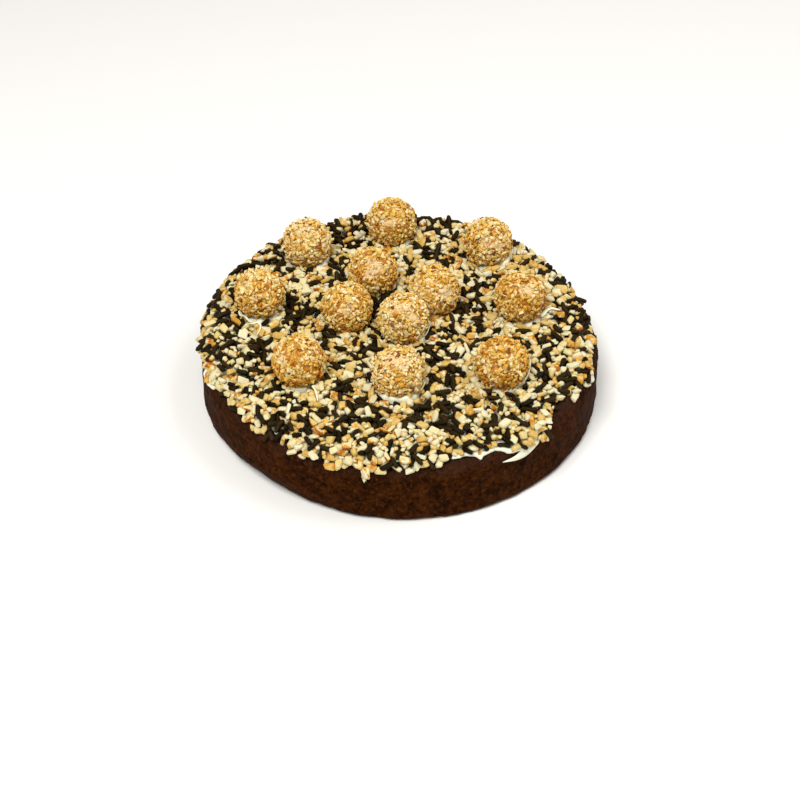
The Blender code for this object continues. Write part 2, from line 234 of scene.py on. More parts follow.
def turned(*turns):
    """3 by 3 matrices of turns about X, Y or Z (0, 1, 2), each given with an angle or an array of
    angles, the last turn made first."""
    result = np.eye(3)
    for axis, angle in turns:
        cosine, sine = np.cos(angle), np.sin(angle)
        turn = np.zeros(np.shape(angle) + (3, 3))
        one, two = (axis + 1) % 3, (axis + 2) % 3
        turn[..., axis, axis] = 1
        turn[..., one, one] = turn[..., two, two] = cosine
        turn[..., one, two], turn[..., two, one] = -sine, sine
        result = result @ turn
    return result


# Meshes


def add_object(name, data):
    obj = bpy.data.objects.new(name, data)
    bpy.context.scene.collection.objects.link(obj)
    return obj


def mesh_object(name, points, faces, smooth=True):
    """A mesh object from an array of points and a list of arrays of faces, each array holding
    faces with the same number of corners; smooth for all faces, or each face's own."""
    corners = np.concatenate([group.ravel() for group in faces]).astype(np.int32)
    totals = np.concatenate([np.full(len(group), group.shape[1]) for group in faces])
    starts = np.concatenate([[0], np.cumsum(totals)[:-1]]).astype(np.int32)
    smooths = np.ascontiguousarray(np.broadcast_to(smooth, len(totals)))
    mesh = bpy.data.meshes.new(name)
    for part, rows in ((mesh.vertices, points), (mesh.loops, corners), (mesh.polygons, totals)):
        part.add(len(rows))
    mesh.vertices.foreach_set("co", np.asarray(points, np.float32).ravel())
    mesh.loops.foreach_set("vertex_index", corners)
    mesh.polygons.foreach_set("loop_start", starts)
    mesh.polygons.foreach_set("use_smooth", smooths)
    mesh.update(calc_edges=True)
    mesh.validate()
    return add_object(name, mesh)


def turned_faces(rows, columns):
    """Faces of a closed surface of rings between two poles. Points go: first pole, then each ring
    in turn, then last pole. Rings run counterclockwise as seen from the first pole's side."""
    ring = 1 + np.arange(rows * columns).reshape(rows, columns)
    after = np.roll(ring, -1, axis=1)
    quads = np.stack([ring[:-1], ring[1:], after[1:], after[:-1]], axis=-1).reshape(-1, 4)
    first = np.stack([np.zeros(columns, int), ring[0], after[0]], axis=-1)
    last = np.stack([np.full(columns, rows * columns + 1), after[-1], ring[-1]], axis=-1)
    return quads, np.concatenate([first, last])


def turned_object(name, surfaces):
    """One mesh of closed surfaces, each an array of rings (rows, columns, 3) and its two poles."""
    points, quads, triangles, start = [], [], [], 0
    for rings, first, last in surfaces:
        points.append(np.concatenate([[first], rings.reshape(-1, 3), [last]]))
        for found, more in zip((quads, triangles), turned_faces(*rings.shape[:2])):
            found.append(more + start)
        start += len(points[-1])
    faces = [np.concatenate(quads), np.concatenate(triangles)]
    return mesh_object(name, np.concatenate(points), faces)


def put_attributes(obj, domain, **numbers):
    """Stores numbers by name for each point or face of the mesh, for its material to read."""
    for name, values in numbers.items():
        layer = obj.data.attributes.new(name, "FLOAT", domain)
        layer.data.foreach_set("value", np.asarray(values, np.float32))


# The sponge

SPONGE_COLUMNS = 760


def arc(centre, radius, start, end, count):
    """Points on an arc of a profile, from one angle to another, in degrees."""
    return centre + polar(radius, np.radians(np.linspace(start, end, count)), 0)[:, :2]


def sponge_profile():
    """(radius, height) down the outside: flat top, round shoulder, nearly upright side, round
    foot, flat base, with the poles at either end left out."""

    def level(start, end, height, count):
        return np.linspace((start, height), (end, height), count)

    top = level(8 * MM, FLAT_RADIUS - 8 * MM, CAKE_HEIGHT, 6)
    rim = level(FLAT_RADIUS - 7.4 * MM, FLAT_RADIUS - 0.5 * MM, CAKE_HEIGHT, 13)
    shoulder = arc((FLAT_RADIUS, CAKE_HEIGHT - SHOULDER_RADIUS), SHOULDER_RADIUS, 90, 0, 20)
    foot = arc((CAKE_RADIUS - FOOT_RADIUS, FOOT_RADIUS), FOOT_RADIUS, 0, -90, 11)
    side = np.linspace(shoulder[-1], foot[0], 37)[1:-1]
    base = level(CAKE_RADIUS - 6 * MM, 8 * MM, 0, 4)
    return np.concatenate([top, rim, shoulder, side, foot, base])


def dent(azimuth, height):
    """How far the baked side is drawn in: broad waves round it crossed by shorter ones, 0 to 1."""
    broad = np.sin(3 * azimuth + 0.6) + 0.7 * np.sin(8 * azimuth + 2 + height / (9 * MM))
    short = 0.6 * np.sin(17 * azimuth - height / (4 * MM)) + 0.5 * np.sin(29 * azimuth + 1)
    return np.clip(0.5 + (broad + short) / 5, 0, 1)


def tuck(azimuth, height):
    """How far the foot is drawn in under the cake at the front left, 0 to 1: most at the base."""
    sector = np.exp(-((angle_from(azimuth, TUCK_AZIMUTH) / TUCK_HALF_WIDTH) ** 2))
    return sector * np.clip(1 - height / TUCK_HEIGHT, 0, 1) ** 2


def make_sponge():
    """The profile turned round Z, drawn in by the dents and the tuck, and then moved along its
    own normal by noise: lumps of crumb, fine wrinkles round the shoulder, and pits."""
    profile = sponge_profile()
    along = np.gradient(profile, axis=0)
    normal = unit(np.stack([-along[:, 1], along[:, 0]], axis=1))
    azimuth = around(SPONGE_COLUMNS)
    radius, height = profile.T[..., None]
    on_side = (radius > CAKE_RADIUS / 2) & (height < CAKE_HEIGHT - SHOULDER_RADIUS + 0.1 * MM)
    inwards = DENT_DEPTH * dent(azimuth, height) + TUCK_DEPTH * tuck(azimuth, height)
    points = polar(radius - np.where(on_side, inwards, 0), azimuth, height)

    crust = np.clip((height - CAKE_HEIGHT + 1.3 * SHOULDER_RADIUS) / SHOULDER_RADIUS, 0, 1)
    lumps = 0.30 * layered_noise(points * (1, 1, 2.2), 9 * MM, 5, 2)
    lumps = lumps + 0.16 * layered_noise(points, 2.6 * MM, 9, 3)
    wrinkles = -0.45 * (1 - np.abs(layered_noise(points * (1, 1, 3), 5 * MM, 21, 3))) ** 5
    holes = -0.75 * pits(points, 4.2 * MM, 0.35, 31) - 0.35 * pits(points, 1.9 * MM, 0.4, 33)
    relief = (lumps + wrinkles * crust + holes * (1 - 0.6 * crust)) * MM - 0.15 * MM
    # none on the base, nor in the middle, which the icing hides
    outer = np.clip((np.hypot(points[..., 0], points[..., 1]) - 60 * MM) / (8 * MM), 0, 1)
    fade = np.clip(height / (1.5 * MM), 0, 1) * outer
    points = points + polar(normal[:, :1], azimuth, normal[:, 1:]) * (relief * fade)[..., None]
    points[..., 2] = np.clip(points[..., 2], 0, None)
    return turned_object("sponge", [(points, (0, 0, CAKE_HEIGHT), (0, 0, 0))])


# The icing

ICING_COLUMNS = 720
MARKED_AZIMUTHS, MARKED_REACHES = np.array(EDGE_MARKS).T


def icing_edge(azimuth):
    """Distance along the skin from the axis to the solid icing's edge: waves, and two bare
    shoulders."""
    waves = 1.0 * np.sin(4 * azimuth + 1.0) + 0.8 * np.sin(9 * azimuth + 2.2)
    edge = ICING_REACH + (waves + 0.5 * np.sin(15 * azimuth)) * MM
    for middle, half_width, drawn_back in BARE_SHOULDERS:
        edge = edge - drawn_back * np.exp(-((angle_from(azimuth, middle) / half_width) ** 2))
    return edge


def topping_edge(azimuth):
    """Distance along the skin to the lower edge of the topping, straight between its marks."""
    return np.interp(azimuth, np.radians(MARKED_AZIMUTHS), MARKED_REACHES, period=TURN) * MM


def drawn_edge(azimuth):
    """The icing's own edge: the topping's, less what hangs over it, with a slightly uneven lip."""
    shows = 0
    for low, high in np.radians(ICING_SHOWS):
        off = np.abs(angle_from(azimuth, (low + high) / 2)) / ((high - low) / 2)
        shows = np.maximum(shows, np.clip(1 - off, 0, 1))
    uneven = 0.35 * MM * layered_noise(polar(CAKE_RADIUS, azimuth, 0), 3 * MM, 41, 3)
    return topping_edge(azimuth) - OVERHANG * np.clip(1 - 8 * shows, 0, 1) + uneven


def icing_thickness(to_edge):
    """The icing's thickness at a distance inwards from its edge, before its lip is rounded."""
    share = np.clip(to_edge / EDGE_TAPER, 0, 1)
    return EDGE_THICKNESS + (ICING_THICKNESS - EDGE_THICKNESS) * np.sqrt(share)


def skin(reach, lift):
    """Radius, height and slope of the cake's top skin at a distance along it from the axis: flat
    as far as the shoulder, then round it, lifted clear of the sponge by a named amount."""
    slope = np.clip((reach - FLAT_RADIUS) / SHOULDER_RADIUS, 0, math.pi / 2)
    radius = np.minimum(reach, FLAT_RADIUS) + (SHOULDER_RADIUS + lift) * np.sin(slope)
    height = CAKE_HEIGHT - SHOULDER_RADIUS + (SHOULDER_RADIUS + lift) * np.cos(slope)
    return radius, height, slope


def on_skin(reach, azimuth, lift):
    """Points on the cake's skin from distances, azimuths and lifts."""
    radius, height, _ = skin(reach, lift)
    return polar(radius, azimuth, height)


def make_icing():
    """One closed sheet: out over the top at the icing's thickness with gentle waves, round a lip
    that is a quarter circle, and back underneath, a little clear of the sponge."""
    azimuth = around(ICING_COLUMNS)
    edge = drawn_edge(azimuth)
    # rings evenly over the top, and closer and closer towards the edge
    inner = np.linspace(0.05, 0.90, 48)[:, None] * edge
    outer = edge - 8.4 * MM * (np.linspace(1, 0, 22)[1:, None] ** 1.6)
    reach = np.concatenate([inner, outer])
    to_edge = edge - reach
    lip = np.sqrt(np.clip(1 - (1 - to_edge / EDGE_THICKNESS).clip(0, 1) ** 2, 0, 1))
    waves = 0.22 * MM * layered_noise(on_skin(reach, azimuth, TOUCH_GAP), 6 * MM, 51, 3)
    over = on_skin(reach, azimuth, TOUCH_GAP + (icing_thickness(to_edge) + waves) * lip)
    under_reach = np.linspace(1, 0.1, 10)[:, None] * (edge - 0.3 * MM)
    under = on_skin(under_reach, azimuth, TOUCH_GAP - 0.25 * MM)
    poles = (0, 0, ICING_TOP), (0, 0, CAKE_HEIGHT + 0.05 * MM)
    return turned_object("cream_icing", [(np.concatenate([over, under]), *poles)])


# The truffles


def truffle_nodes():
    return sorted(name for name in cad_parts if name.startswith("truffle_"))


def truffle_ball(node):
    """Centre and radius of a truffle's solid, from its box."""
    low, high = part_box(node)
    size = high - low
    return np.array((low + high) / 2), (size.x + size.y + size.z) / 6


BALLS = [truffle_ball(node) for node in truffle_nodes()]
CENTRES = np.array([centre for centre, _ in BALLS])
COAT_DEPTH = 1.25 * MM  # how far the crumbs stand out of a truffle's core
CORE_ROWS, CORE_COLUMNS = 40, 64
# Where each truffle's coat shows bare, as the photograph has it, pinkish cream and partly a painted
# highlight: how far to the right of its middle and how far above, in its radii
BARE_AND_HIGHLIT_COAT = (
    ((-0.15, 0.37),), ((-0.13, -0.17),), ((-0.23, -0.17), (0.39, -0.2)), ((0.0, 0.2), (0.0, -0.1)),
    ((-0.42, 0.37),), ((0.13, -0.25),), ((0.53, -0.1),), ((0.25, 0.23),),
    ((-0.13, 0.31), (0.46, 0.0)), ((-0.6, 0.07),), ((-0.3, 0.5), (0.25, 0.35)), ((-0.56, -0.24),),
)
BARE_AND_HIGHLIT_SPAN = 0.36  # radians from a bare place's middle to where it has fallen to 1/e


def bare_and_highlit_coat(ways, number):
    """Where a truffle's coat shows bare and pinkish cream, partly a painted highlight, 0 to 1, by
    the
    way out from its centre: bell shapes round the marked ways, their edges broken up by noise."""
    total = 0
    for right, up in BARE_AND_HIGHLIT_COAT[number]:
        middle = from_view(right, up, math.sqrt(1 - right**2 - up**2))
        total = total + np.exp(-((np.arccos(np.clip(ways @ middle, -1, 1)) / BARE_AND_HIGHLIT_SPAN) ** 2))
    return np.clip((total + 0.5 * lattice_noise(ways + 3.7 * number, 0.3, 19) - 0.5) / 0.3, 0, 1)


def make_core(number, centre, radius):
    """A truffle's core: a ball with low lumps between which its crumbs stick, higher and smoother
    where its coat shows bare."""
    down = np.linspace(0, math.pi, CORE_ROWS + 2)[1:-1, None]
    rings = polar(np.sin(down), around(CORE_COLUMNS), np.cos(down))
    ways = np.concatenate([[(0, 0, 1)], rings.reshape(-1, 3), [(0, 0, -1)]])
    bare = bare_and_highlit_coat(ways, number - 1)
    lumps = 0.4 * layered_noise(ways * radius + centre, 2.5 * MM, 61 + number, 3) + 0.3 * bare
    points = centre + ways * (radius - COAT_DEPTH + lumps[:, None] * MM)
    surface = points[1:-1].reshape(rings.shape), points[0], points[-1]
    core = turned_object(f"truffle_core_{number:02d}", [surface])
    # the bare patches, partly painted highlights, which the material paints pinkish cream
    put_attributes(core, "POINT", bare=bare)
    return core


# Small pieces


def hull_form(points):
    """The convex hull of some points, scaled to a box from -1 to 1: points, triangles and the
    planes that bound it."""
    shape = bmesh.new()
    for point in points:
        shape.verts.new(point)
    hull = bmesh.ops.convex_hull(shape, input=shape.verts)
    inner = {item for item in hull["geom_interior"] + hull["geom_unused"] if hasattr(item, "co")}
    bmesh.ops.delete(shape, geom=list(inner), context="VERTS")
    bmesh.ops.recalc_face_normals(shape, faces=shape.faces)
    shape.verts.index_update()
    corners = np.array([vertex.co for vertex in shape.verts])
    faces = np.array([[vertex.index for vertex in face.verts] for face in shape.faces])
    shape.free()
    middle = (corners.max(axis=0) + corners.min(axis=0)) / 2
    corners = (corners - middle) / np.abs(corners - middle).max(axis=0)
    one, two, three = (corners[faces[:, k]] for k in range(3))
    normals = unit(np.cross(two - one, three - one))
    return corners, faces, np.column_stack([normals, (normals * one).sum(axis=1)])


BOX_CORNERS = np.array(list(np.ndindex(2, 2, 2))) * 2.0 - 1
BOX_SIDES = np.array([np.where(BOX_CORNERS[:, k] == way)[0] for k in range(3) for way in (-1, 1)])


def chip_form(seed, uneven, cut):
    """A chopped chip: a box with its corners moved at random by up to the uneven share, then its
    corners and edges planed off, as the hull of each side's corners drawn in by the cut share."""
    draw = np.random.default_rng(seed)
    corners = BOX_CORNERS * (1 - uneven * draw.random((8, 3)))
    corners[draw.integers(0, 8, 2)] *= draw.uniform(0.2, 1, (2, 1))
    sides = corners[BOX_SIDES]
    sides = sides + cut * (sides.mean(axis=1, keepdims=True) - sides)
    return hull_form(sides.reshape(-1, 3))


def crumb_form(seed, corners):
    """A crushed crumb: the hull of points on a sunflower's spiral over a ball, each pushed in at
    random."""
    draw = np.random.default_rng(seed)
    upright, azimuth = spiral(corners)
    ways = polar(np.sqrt(1 - upright**2), azimuth + draw.normal(0, 0.3, corners), upright)
    return hull_form(ways * draw.uniform(0.72, 1.0, (corners, 1)))


def sprinkle_form(seed):
    """A rod along X from -1 to 1 with blunt ends: round it, y and z = (1 - |x|^5)^(1/3), slightly
    uneven and bent; and the planes that bound it."""
    draw = np.random.default_rng(seed)
    along, angle = np.array((-0.96, -0.72, 0.0, 0.72, 0.96))[:, None], around(6)
    thick = (1 - np.abs(along) ** 5) ** (1 / 3) * (1 + 0.14 * draw.uniform(-1, 1, (5, 6)))
    rings = np.roll(polar(thick, angle, along), 1, axis=-1)
    rings[..., 1] += draw.uniform(-0.6, 0.6) * (along**2 - 0.4)
    points = np.concatenate([[(-1, 0, 0)], rings.reshape(-1, 3), [(1, 0, 0)]])
    quads, triangles = turned_faces(5, 6)
    planes = np.concatenate([np.roll(polar(1, angle, 0), 1, axis=-1), [(1, 0, 0), (-1, 0, 0)]])
    faces = np.concatenate([quads[:, [0, 1, 2]], quads[:, [0, 2, 3]], triangles])
    return points, faces, np.column_stack([planes, np.ones(len(planes))])


def joined_pieces(name, forms, picks, turns, sizes, places, smooth):
    """One mesh of many small pieces: each one's form, scaled by its half sizes, turned and moved.
    A share of them is shaded smooth, the others flat. Returns the object, the piece that each face
    belongs to, and the face's middle in the piece's own frame."""
    points, faces, owners, middles, start = [], [], [], [], 0
    for number, (corners, triangles, _) in enumerate(forms):
        mine = np.where(picks == number)[0]
        local = np.einsum("nij,npj->npi", turns[mine], corners * sizes[mine][:, None])
        points.append((local + places[mine][:, None]).reshape(-1, 3))
        offset = start + np.arange(len(mine)) * len(corners)
        faces.append((triangles + offset[:, None, None]).reshape(-1, 3))
        owners.append(np.repeat(mine, len(triangles)))
        middles.append(np.tile(corners[triangles].mean(axis=1), (len(mine), 1)))
        start += len(mine) * len(corners)
    owners = np.concatenate(owners)
    is_smooth = np.random.default_rng(3).random(len(picks)) < smooth
    obj = mesh_object(name, np.concatenate(points), [np.concatenate(faces)], is_smooth[owners])
    return obj, owners, np.concatenate(middles)


def on_some(draw, count, share, low, high):
    """Random numbers from low to high on a share of the pieces, and 0 on the others."""
    return (draw.random(count) < share) * draw.uniform(low, high, count)


def towards_a_side(draw, owners, middles):
    """How far each face's middle lies towards a random side of its own piece."""
    ways = unit(draw.normal(size=(owners.max() + 1, 3)))
    return (middles * ways[owners]).sum(axis=1)


# The heap of nuts and sprinkles

NUT_FORMS = [chip_form(700 + n, 0.40 + 0.1 * (n % 4), 0.25 + 0.06 * (n % 3)) for n in range(36)]
SPRINKLE_FORMS = [sprinkle_form(800 + n) for n in range(12)]
NUT_KINDS = ("nut_chips", "nut_slivers", "nut_bits")
# their half sizes in millimetres: the least, and how much larger they can be
NUT_SIZES = np.array((
    ((1.55, 1.25, 0.85), (1.2, 0.65, 0.5)),
    ((2.1, 0.8, 0.65), (1.1, 0.3, 0.3)),
    ((0.85, 0.75, 0.55), (0.6, 0.35, 0.35)),
))
CELL, GRID_HALF = 0.32 * MM, 90 * MM
SLOPE_SPAN = 2.0 * MM
INTO_TRUFFLE = 0.7 * MM  # how far a piece can reach into a truffle's coat
OUTERMOST = FLAT_RADIUS + SHOULDER_RADIUS + 1.6 * MM  # pieces rest on nothing beyond this radius
GAP_DEPTH = 0.7 * MM  # less than this laid on the icing counts as bare
COVERED_INSET = 1.6 * MM  # farther in from the edge than this no icing shows
REST_SHARE = 0.78  # the share of its underside that a piece clears where it comes to rest
# the highest that a piece's middle comes to rest, above the lowest: at the edge, and how much more
# a strip in from it; one that would come a little higher is pressed in, and a higher one isn't laid
EDGE_RISE, MORE_RISE, PRESSED_IN = 2.9 * MM, 1.9 * MM, 0.5 * MM
# how deep the lowest pieces sit in the icing, and in the bare crust
SUNK, SUNK_IN_CRUST = 0.55 * MM, 0.5 * MM
# how much deeper the heap is along the back, most at this azimuth, from how far out, and over what
# distance that comes on
BACK_RISE, BACK_AZIMUTH, BACK_START, BACK_STRIP = 2.4 * MM, math.radians(118), 62 * MM, 12 * MM
SPRINKLE_SHARE = 0.285

# Where sprinkles, or nuts, lie thickest: x, y and radius in millimetres, and how much
DARK_SPOTS = (
    (-10, 17, 7, 0.75), (-9, -3, 6, 0.65), (32, -65, 8, 1.0), (-54, 47, 9, 0.8), (61, -30, 7, 0.7),
    (9, -53, 8, 0.8), (-60, -27, 8, 0.6), (28, 0, 7, 0.65), (62, -16, 7, 0.6), (-24, -67, 6, 0.8),
    (67, -47, 6, 0.6), (33, 12, 6, 0.6), (48, -47, 7, 0.65), (-39, -61, 6, 0.7),
    (-24, -36, 8, 0.8), (-28, -24, 6, 0.7), (-44, 10, 7, 0.6), (-4, -46, 5, 0.6), (72, 2, 6, 0.5),
    (-29, 57, 6, 0.6), (13, -11, 6, 0.45), (44, -69, 4, 0.6), (15, 52, 8, 0.3), (7, 66, 5, 0.25),
    (20, -22, 7, 0.5), (5, -79, 3, 0.6), (-11, -81, 3, 0.6), (-30, 75, 6, 0.3), (75, 20, 6, 0.3),
    (-78, 12, 5, 0.6),
)
PALE_SPOTS = (
    (63, 14, 7, 1.0), (64, 50, 9, 0.9), (-32, 3, 6, 1.0), (-77, -27, 6, 1.0), (-20, -79, 7, 0.9),
    (-73, 34, 7, 0.9), (-36, -74, 6, 0.9), (80, -9, 5, 0.8), (46, 43, 6, 0.6), (-32, 42, 7, 0.7),
    (-14, 64, 6, 0.6), (71, -26, 5, 0.8), (42, -3, 7, 0.8), (-61, 1, 6, 0.8), (-37, -41, 7, 0.8),
    (27, -39, 7, 0.8), (-37, 31, 6, 0.6), (-69, -44, 6, 0.8), (-40, -52, 7, 0.7),
    (-27, -16, 5, 0.6), (56, -58, 5, 0.7), (12, -68, 6, 0.5), (2, 58, 8, 0.4), (30, 70, 7, 0.3),
)
# Where the icing lies bare: x, y and radius in millimetres
BARE_SPOTS = (
    (21, -77.5, 1.3), (25, -76.8, 1.5), (31.7, -75.9, 2.6), (34, -73.8, 1.9), (38, -72.3, 1.7),
    (43, -70.5, 1.7), (82.3, -13, 2.0), (81.5, -18, 1.8), (80, -24, 1.6), (-80.5, -23.5, 2.0),
    (-79.5, -28, 2.2), (-78, -32, 1.6),
)
# Pieces along the front edge that can be told apart, in degrees and millimetres: kind, azimuth,
# reach along the skin, the way its length points, length, width, thickness; then tone and toast
MARKED_PIECES = (
    ("nut_chips", -120.7, 82.1, -5, 4.4, 2.5, 2.0, 0.05, 0.0),
    ("nut_chips", -109.0, 83.2, -5, 5.0, 3.2, 2.2, 0.60, 0.9),
    ("nut_slivers", -99.5, 83.6, 98, 6.2, 2.1, 1.8, 0.0, 0.0),
    ("nut_chips", -98.2, 81.2, 70, 5.0, 2.1, 1.9, 0.6, 0.4),
    ("nut_chips", -95.3, 82.0, 0, 5.0, 3.1, 2.2, 0.4, 0.1),
    ("nut_chips", -90.8, 80.6, -45, 4.4, 2.3, 1.9, 0.1, 0.0),
    ("nut_bits", -88.8, 79.4, -60, 3.8, 2.4, 1.9, 0.1, 0.0),
    ("nut_bits", -87.3, 81.6, 20, 4.2, 2.6, 1.9, 0.0, 0.0),
    ("nut_chips", -83.3, 79.8, 10, 5.0, 3.3, 2.2, 0.55, 0.3),
    ("nut_chips", -78.7, 79.2, 80, 6.2, 2.8, 2.0, 0.1, 0.0),
    ("nut_chips", -161.3, 83.2, 75, 5.0, 2.5, 2.0, 0.9, 1.0),
    ("nut_slivers", -46.3, 83.1, -50, 5.8, 1.7, 1.4, 0.0, 0.0),
    ("nut_chips", -29.1, 80.6, 60, 4.4, 3.2, 2.2, 0.1, 0.0),
    ("nut_chips", -21.8, 81.7, 30, 3.6, 2.8, 2.0, 0.1, 0.0),
    ("sprinkles", -59.7, 80.4, 0, 5.4, 2.1, 2.1, 0.3, 0.0),
    ("sprinkles", -64.8, 79.2, 100, 2.6, 2.1, 2.1, 0.3, 0.0),
    ("sprinkles", -69.0, 76.4, 85, 5.2, 2.1, 2.1, 0.3, 0.0),
    ("sprinkles", -73.2, 74.5, 45, 5.2, 2.1, 2.1, 0.3, 0.0),
)


def cad_strewn_places():
    """(reach, azimuth) of each piece fused to the solid: a sunflower's spiral, then the rim."""
    draw = np.random.default_rng(STREWN_SEED)
    for number in range(STREWN_COUNT):
        azimuth = number * GOLDEN_ANGLE % TURN
        edge = float(icing_edge(azimuth)) - RIM_WIDTH
        yield edge * math.sqrt((number + 0.5) / STREWN_COUNT), azimuth
    for number in range(RIM_COUNT):
        azimuth = TURN * (number + draw.uniform(0, 0.6)) / RIM_COUNT
        yield float(icing_edge(azimuth)) - draw.uniform(*RIM_INSET), azimuth


def in_sprinkle_blotch(x, y):
    """Whether the solid has a sprinkle here, and not a nut."""
    bent = math.sin(x / (7 * MM) + 2 * math.sin(y / (11 * MM)))
    return bent + math.sin(y / (6 * MM) + x / (16 * MM)) > SPRINKLE_BLOTCH


def from_spot(x, y, spot):
    """The distance from a spot's middle, in its radii."""
    return np.hypot(x - spot[0] * MM, y - spot[1] * MM) / (spot[2] * MM)


def spot_sum(x, y, spots):
    """Round spots with a bell-shaped fall-off, summed."""
    return sum(spot[3] * np.exp(-(from_spot(x, y, spot) ** 2)) for spot in spots)


def in_bare_spot(x, y):
    """Whether places lie in one of the round bare spots."""
    return np.min([from_spot(x, y, spot) for spot in BARE_SPOTS], axis=0) < 1


def bare_icing(x, y):
    """Where icing lies bare: at the bare spots, and on the truffles' lips of icing."""
    bare = in_bare_spot(x, y)
    for number, way, spread, _, width in LIPS:
        dx, dy = x - CENTRES[number - 1][0], y - CENTRES[number - 1][1]
        off = np.abs(angle_from(np.arctan2(dy, dx), math.radians(way)))
        bare |= (off < 0.8 * math.radians(spread)) & (np.hypot(dx, dy) < (10.2 + 0.6 * width) * MM)
    return bare


def sprinkle_chance(x, y, to_edge):
    """How likely a piece is a sprinkle: a share in general, changed by the dark and pale spots,
    blotches of noise, and less along the edge."""
    patch = spot_sum(x, y, DARK_SPOTS) - spot_sum(x, y, PALE_SPOTS)
    blotch = layered_noise(np.stack([x, y, 0 * x], axis=-1), 8 * MM, 91, 2)
    rim = np.clip(1 - to_edge / (5 * MM), 0, 1)
    return SPRINKLE_SHARE + 0.34 * patch + 0.2 * blotch - 0.14 * rim


class Heap:
    """A height map of the cake's top on which pieces are laid one by one."""

    def __init__(self):
        side = int(2 * GRID_HALF / CELL) + 1
        self.axis = (np.arange(side) - side // 2) * CELL
        x, y = np.meshgrid(self.axis, self.axis, indexing="ij")
        radius, azimuth = np.hypot(x, y), np.arctan2(y, x)
        # reach along the skin for a point seen from above, then the icing's height there
        beyond = np.clip((radius - FLAT_RADIUS) / (SHOULDER_RADIUS + MIDDLE_LIFT), 0, 1)
        reach = np.minimum(radius, FLAT_RADIUS) + SHOULDER_RADIUS * np.arcsin(beyond)
        to_icing_edge, to_edge = drawn_edge(azimuth) - reach, topping_edge(azimuth) - reach
        on_icing = to_icing_edge > 0
        lift = TOUCH_GAP + np.where(on_icing, icing_thickness(to_icing_edge), 0)
        self.base = skin(reach, lift)[1] - np.where(on_icing, SUNK, SUNK_IN_CRUST)
        self.floor = np.where(radius < OUTERMOST, self.base, -1.0)
        self.ceiling = np.full(x.shape, 1.0)
        for centre, ball_radius in BALLS:
            away = np.hypot(x - centre[0], y - centre[1])
            under = centre[2] - np.sqrt(np.clip(ball_radius**2 - away**2, 0, None))
            self.ceiling = np.where(away < ball_radius, under + INTO_TRUFFLE, self.ceiling)
        self.bare = bare_icing(x, y)
        self.sprinkle_chance = sprinkle_chance(x, y, to_edge)
        self.covers = to_edge > COVERED_INSET
        inwards = np.clip(to_edge / EDGE_STRIP, 0, 1)
        behind = np.clip(np.cos(azimuth - BACK_AZIMUTH), 0, 1)
        behind = behind * np.clip((radius - BACK_START) / BACK_STRIP, 0, 1)
        self.full = EDGE_DEPTH + MORE_DEPTH * inwards + 0.9 * BACK_RISE * behind
        self.highest = self.base + EDGE_RISE + MORE_RISE * inwards + BACK_RISE * behind
        self.placed = []

    def cell(self, x, y):
        """The indexes of the cell that a place lies in."""
        return tuple(int(round(value / CELL)) + len(self.axis) // 2 for value in (x, y))

    def window(self, x, y, half):
        """Index slices of the cells round a place, and their offsets from it."""
        i, j = self.cell(x, y)
        reach = int(math.ceil(half / CELL))
        rows, columns = slice(i - reach, i + reach + 1), slice(j - reach, j + reach + 1)
        return (rows, columns), self.axis[rows][:, None] - x, self.axis[columns][None, :] - y

    def slope_at(self, x, y):
        """The slope of the heap's top here, in X and in Y, over a span."""
        step = int(SLOPE_SPAN / CELL)
        i, j = self.cell(x, y)
        ahead = np.array((self.floor[i + step, j], self.floor[i, j + step]))
        behind = np.array((self.floor[i - step, j], self.floor[i, j - step]))
        return (ahead - behind) / (2 * SLOPE_SPAN)

    def faces_between(self, turn, half_sizes, planes, dx, dy):
        """The piece's lower and upper heights over each cell: a plane m.p <= d bounds p from above
        where m points up, and from below where it points down."""
        m_x, m_y, m_z = (planes[:, :3] / half_sizes @ turn.T).T[..., None, None]
        rest = planes[:, 3, None, None] - m_x * dx - m_y * dy
        bound = rest / np.where(np.abs(m_z) < 1e-6, 1e-6, m_z)
        upper = np.where(m_z > 0, bound, 1.0).min(axis=0)
        lower = np.where(m_z <= 0, bound, -1.0).max(axis=0)
        return lower, upper, upper > lower

    def lay(self, kind, turn, half_sizes, x, y, height=None, keep=False):
        """Drops a piece at a place until it rests on nearly all it touches, or sets it at a height.
        A piece that would reach into a truffle isn't laid. One to keep in view has no other's
        middle laid on it."""
        forms = SPRINKLE_FORMS if kind == "sprinkles" else NUT_FORMS
        pick = len(self.placed) % len(forms)
        cells, dx, dy = self.window(x, y, float(np.linalg.norm(half_sizes)))
        lower, upper, inside = self.faces_between(turn, half_sizes, forms[pick][2], dx, dy)
        if not inside.any():
            return
        floor = self.floor[cells]
        if height is None:
            height = np.quantile((floor - lower)[inside], REST_SHARE)
            highest = self.highest[self.cell(x, y)]
            if height > highest + PRESSED_IN:
                return
            height = float(min(height, highest))
        if (height + upper > self.ceiling[cells])[inside].any():
            return
        self.floor[cells] = np.where(inside, np.maximum(floor, height + upper), floor)
        if keep:
            self.bare[cells] |= inside
        self.placed.append((kind, pick, turn, half_sizes, (x, y, height)))


def lying_at(reach, azimuth, lift):
    """The place seen from above, height and slope of a piece lying on the skin."""
    radius, height, slope = (float(value) for value in skin(reach, lift))
    return (radius * math.cos(azimuth), radius * math.sin(azimuth)), height, slope


def lay_marked_pieces(heap):
    """The pieces at the front that can be told apart, flat on the skin."""
    for kind, azimuth, reach, way, *sizes, _, _ in MARKED_PIECES:
        azimuth, way = math.radians(azimuth), math.radians(way)
        place, _, slope = lying_at(reach * MM, azimuth, MARKED_LIFT)
        turn = turned((2, azimuth), (1, slope), (2, way - azimuth))
        heap.lay(kind, turn, np.array(sizes) / 2 * MM, *place, keep=True)


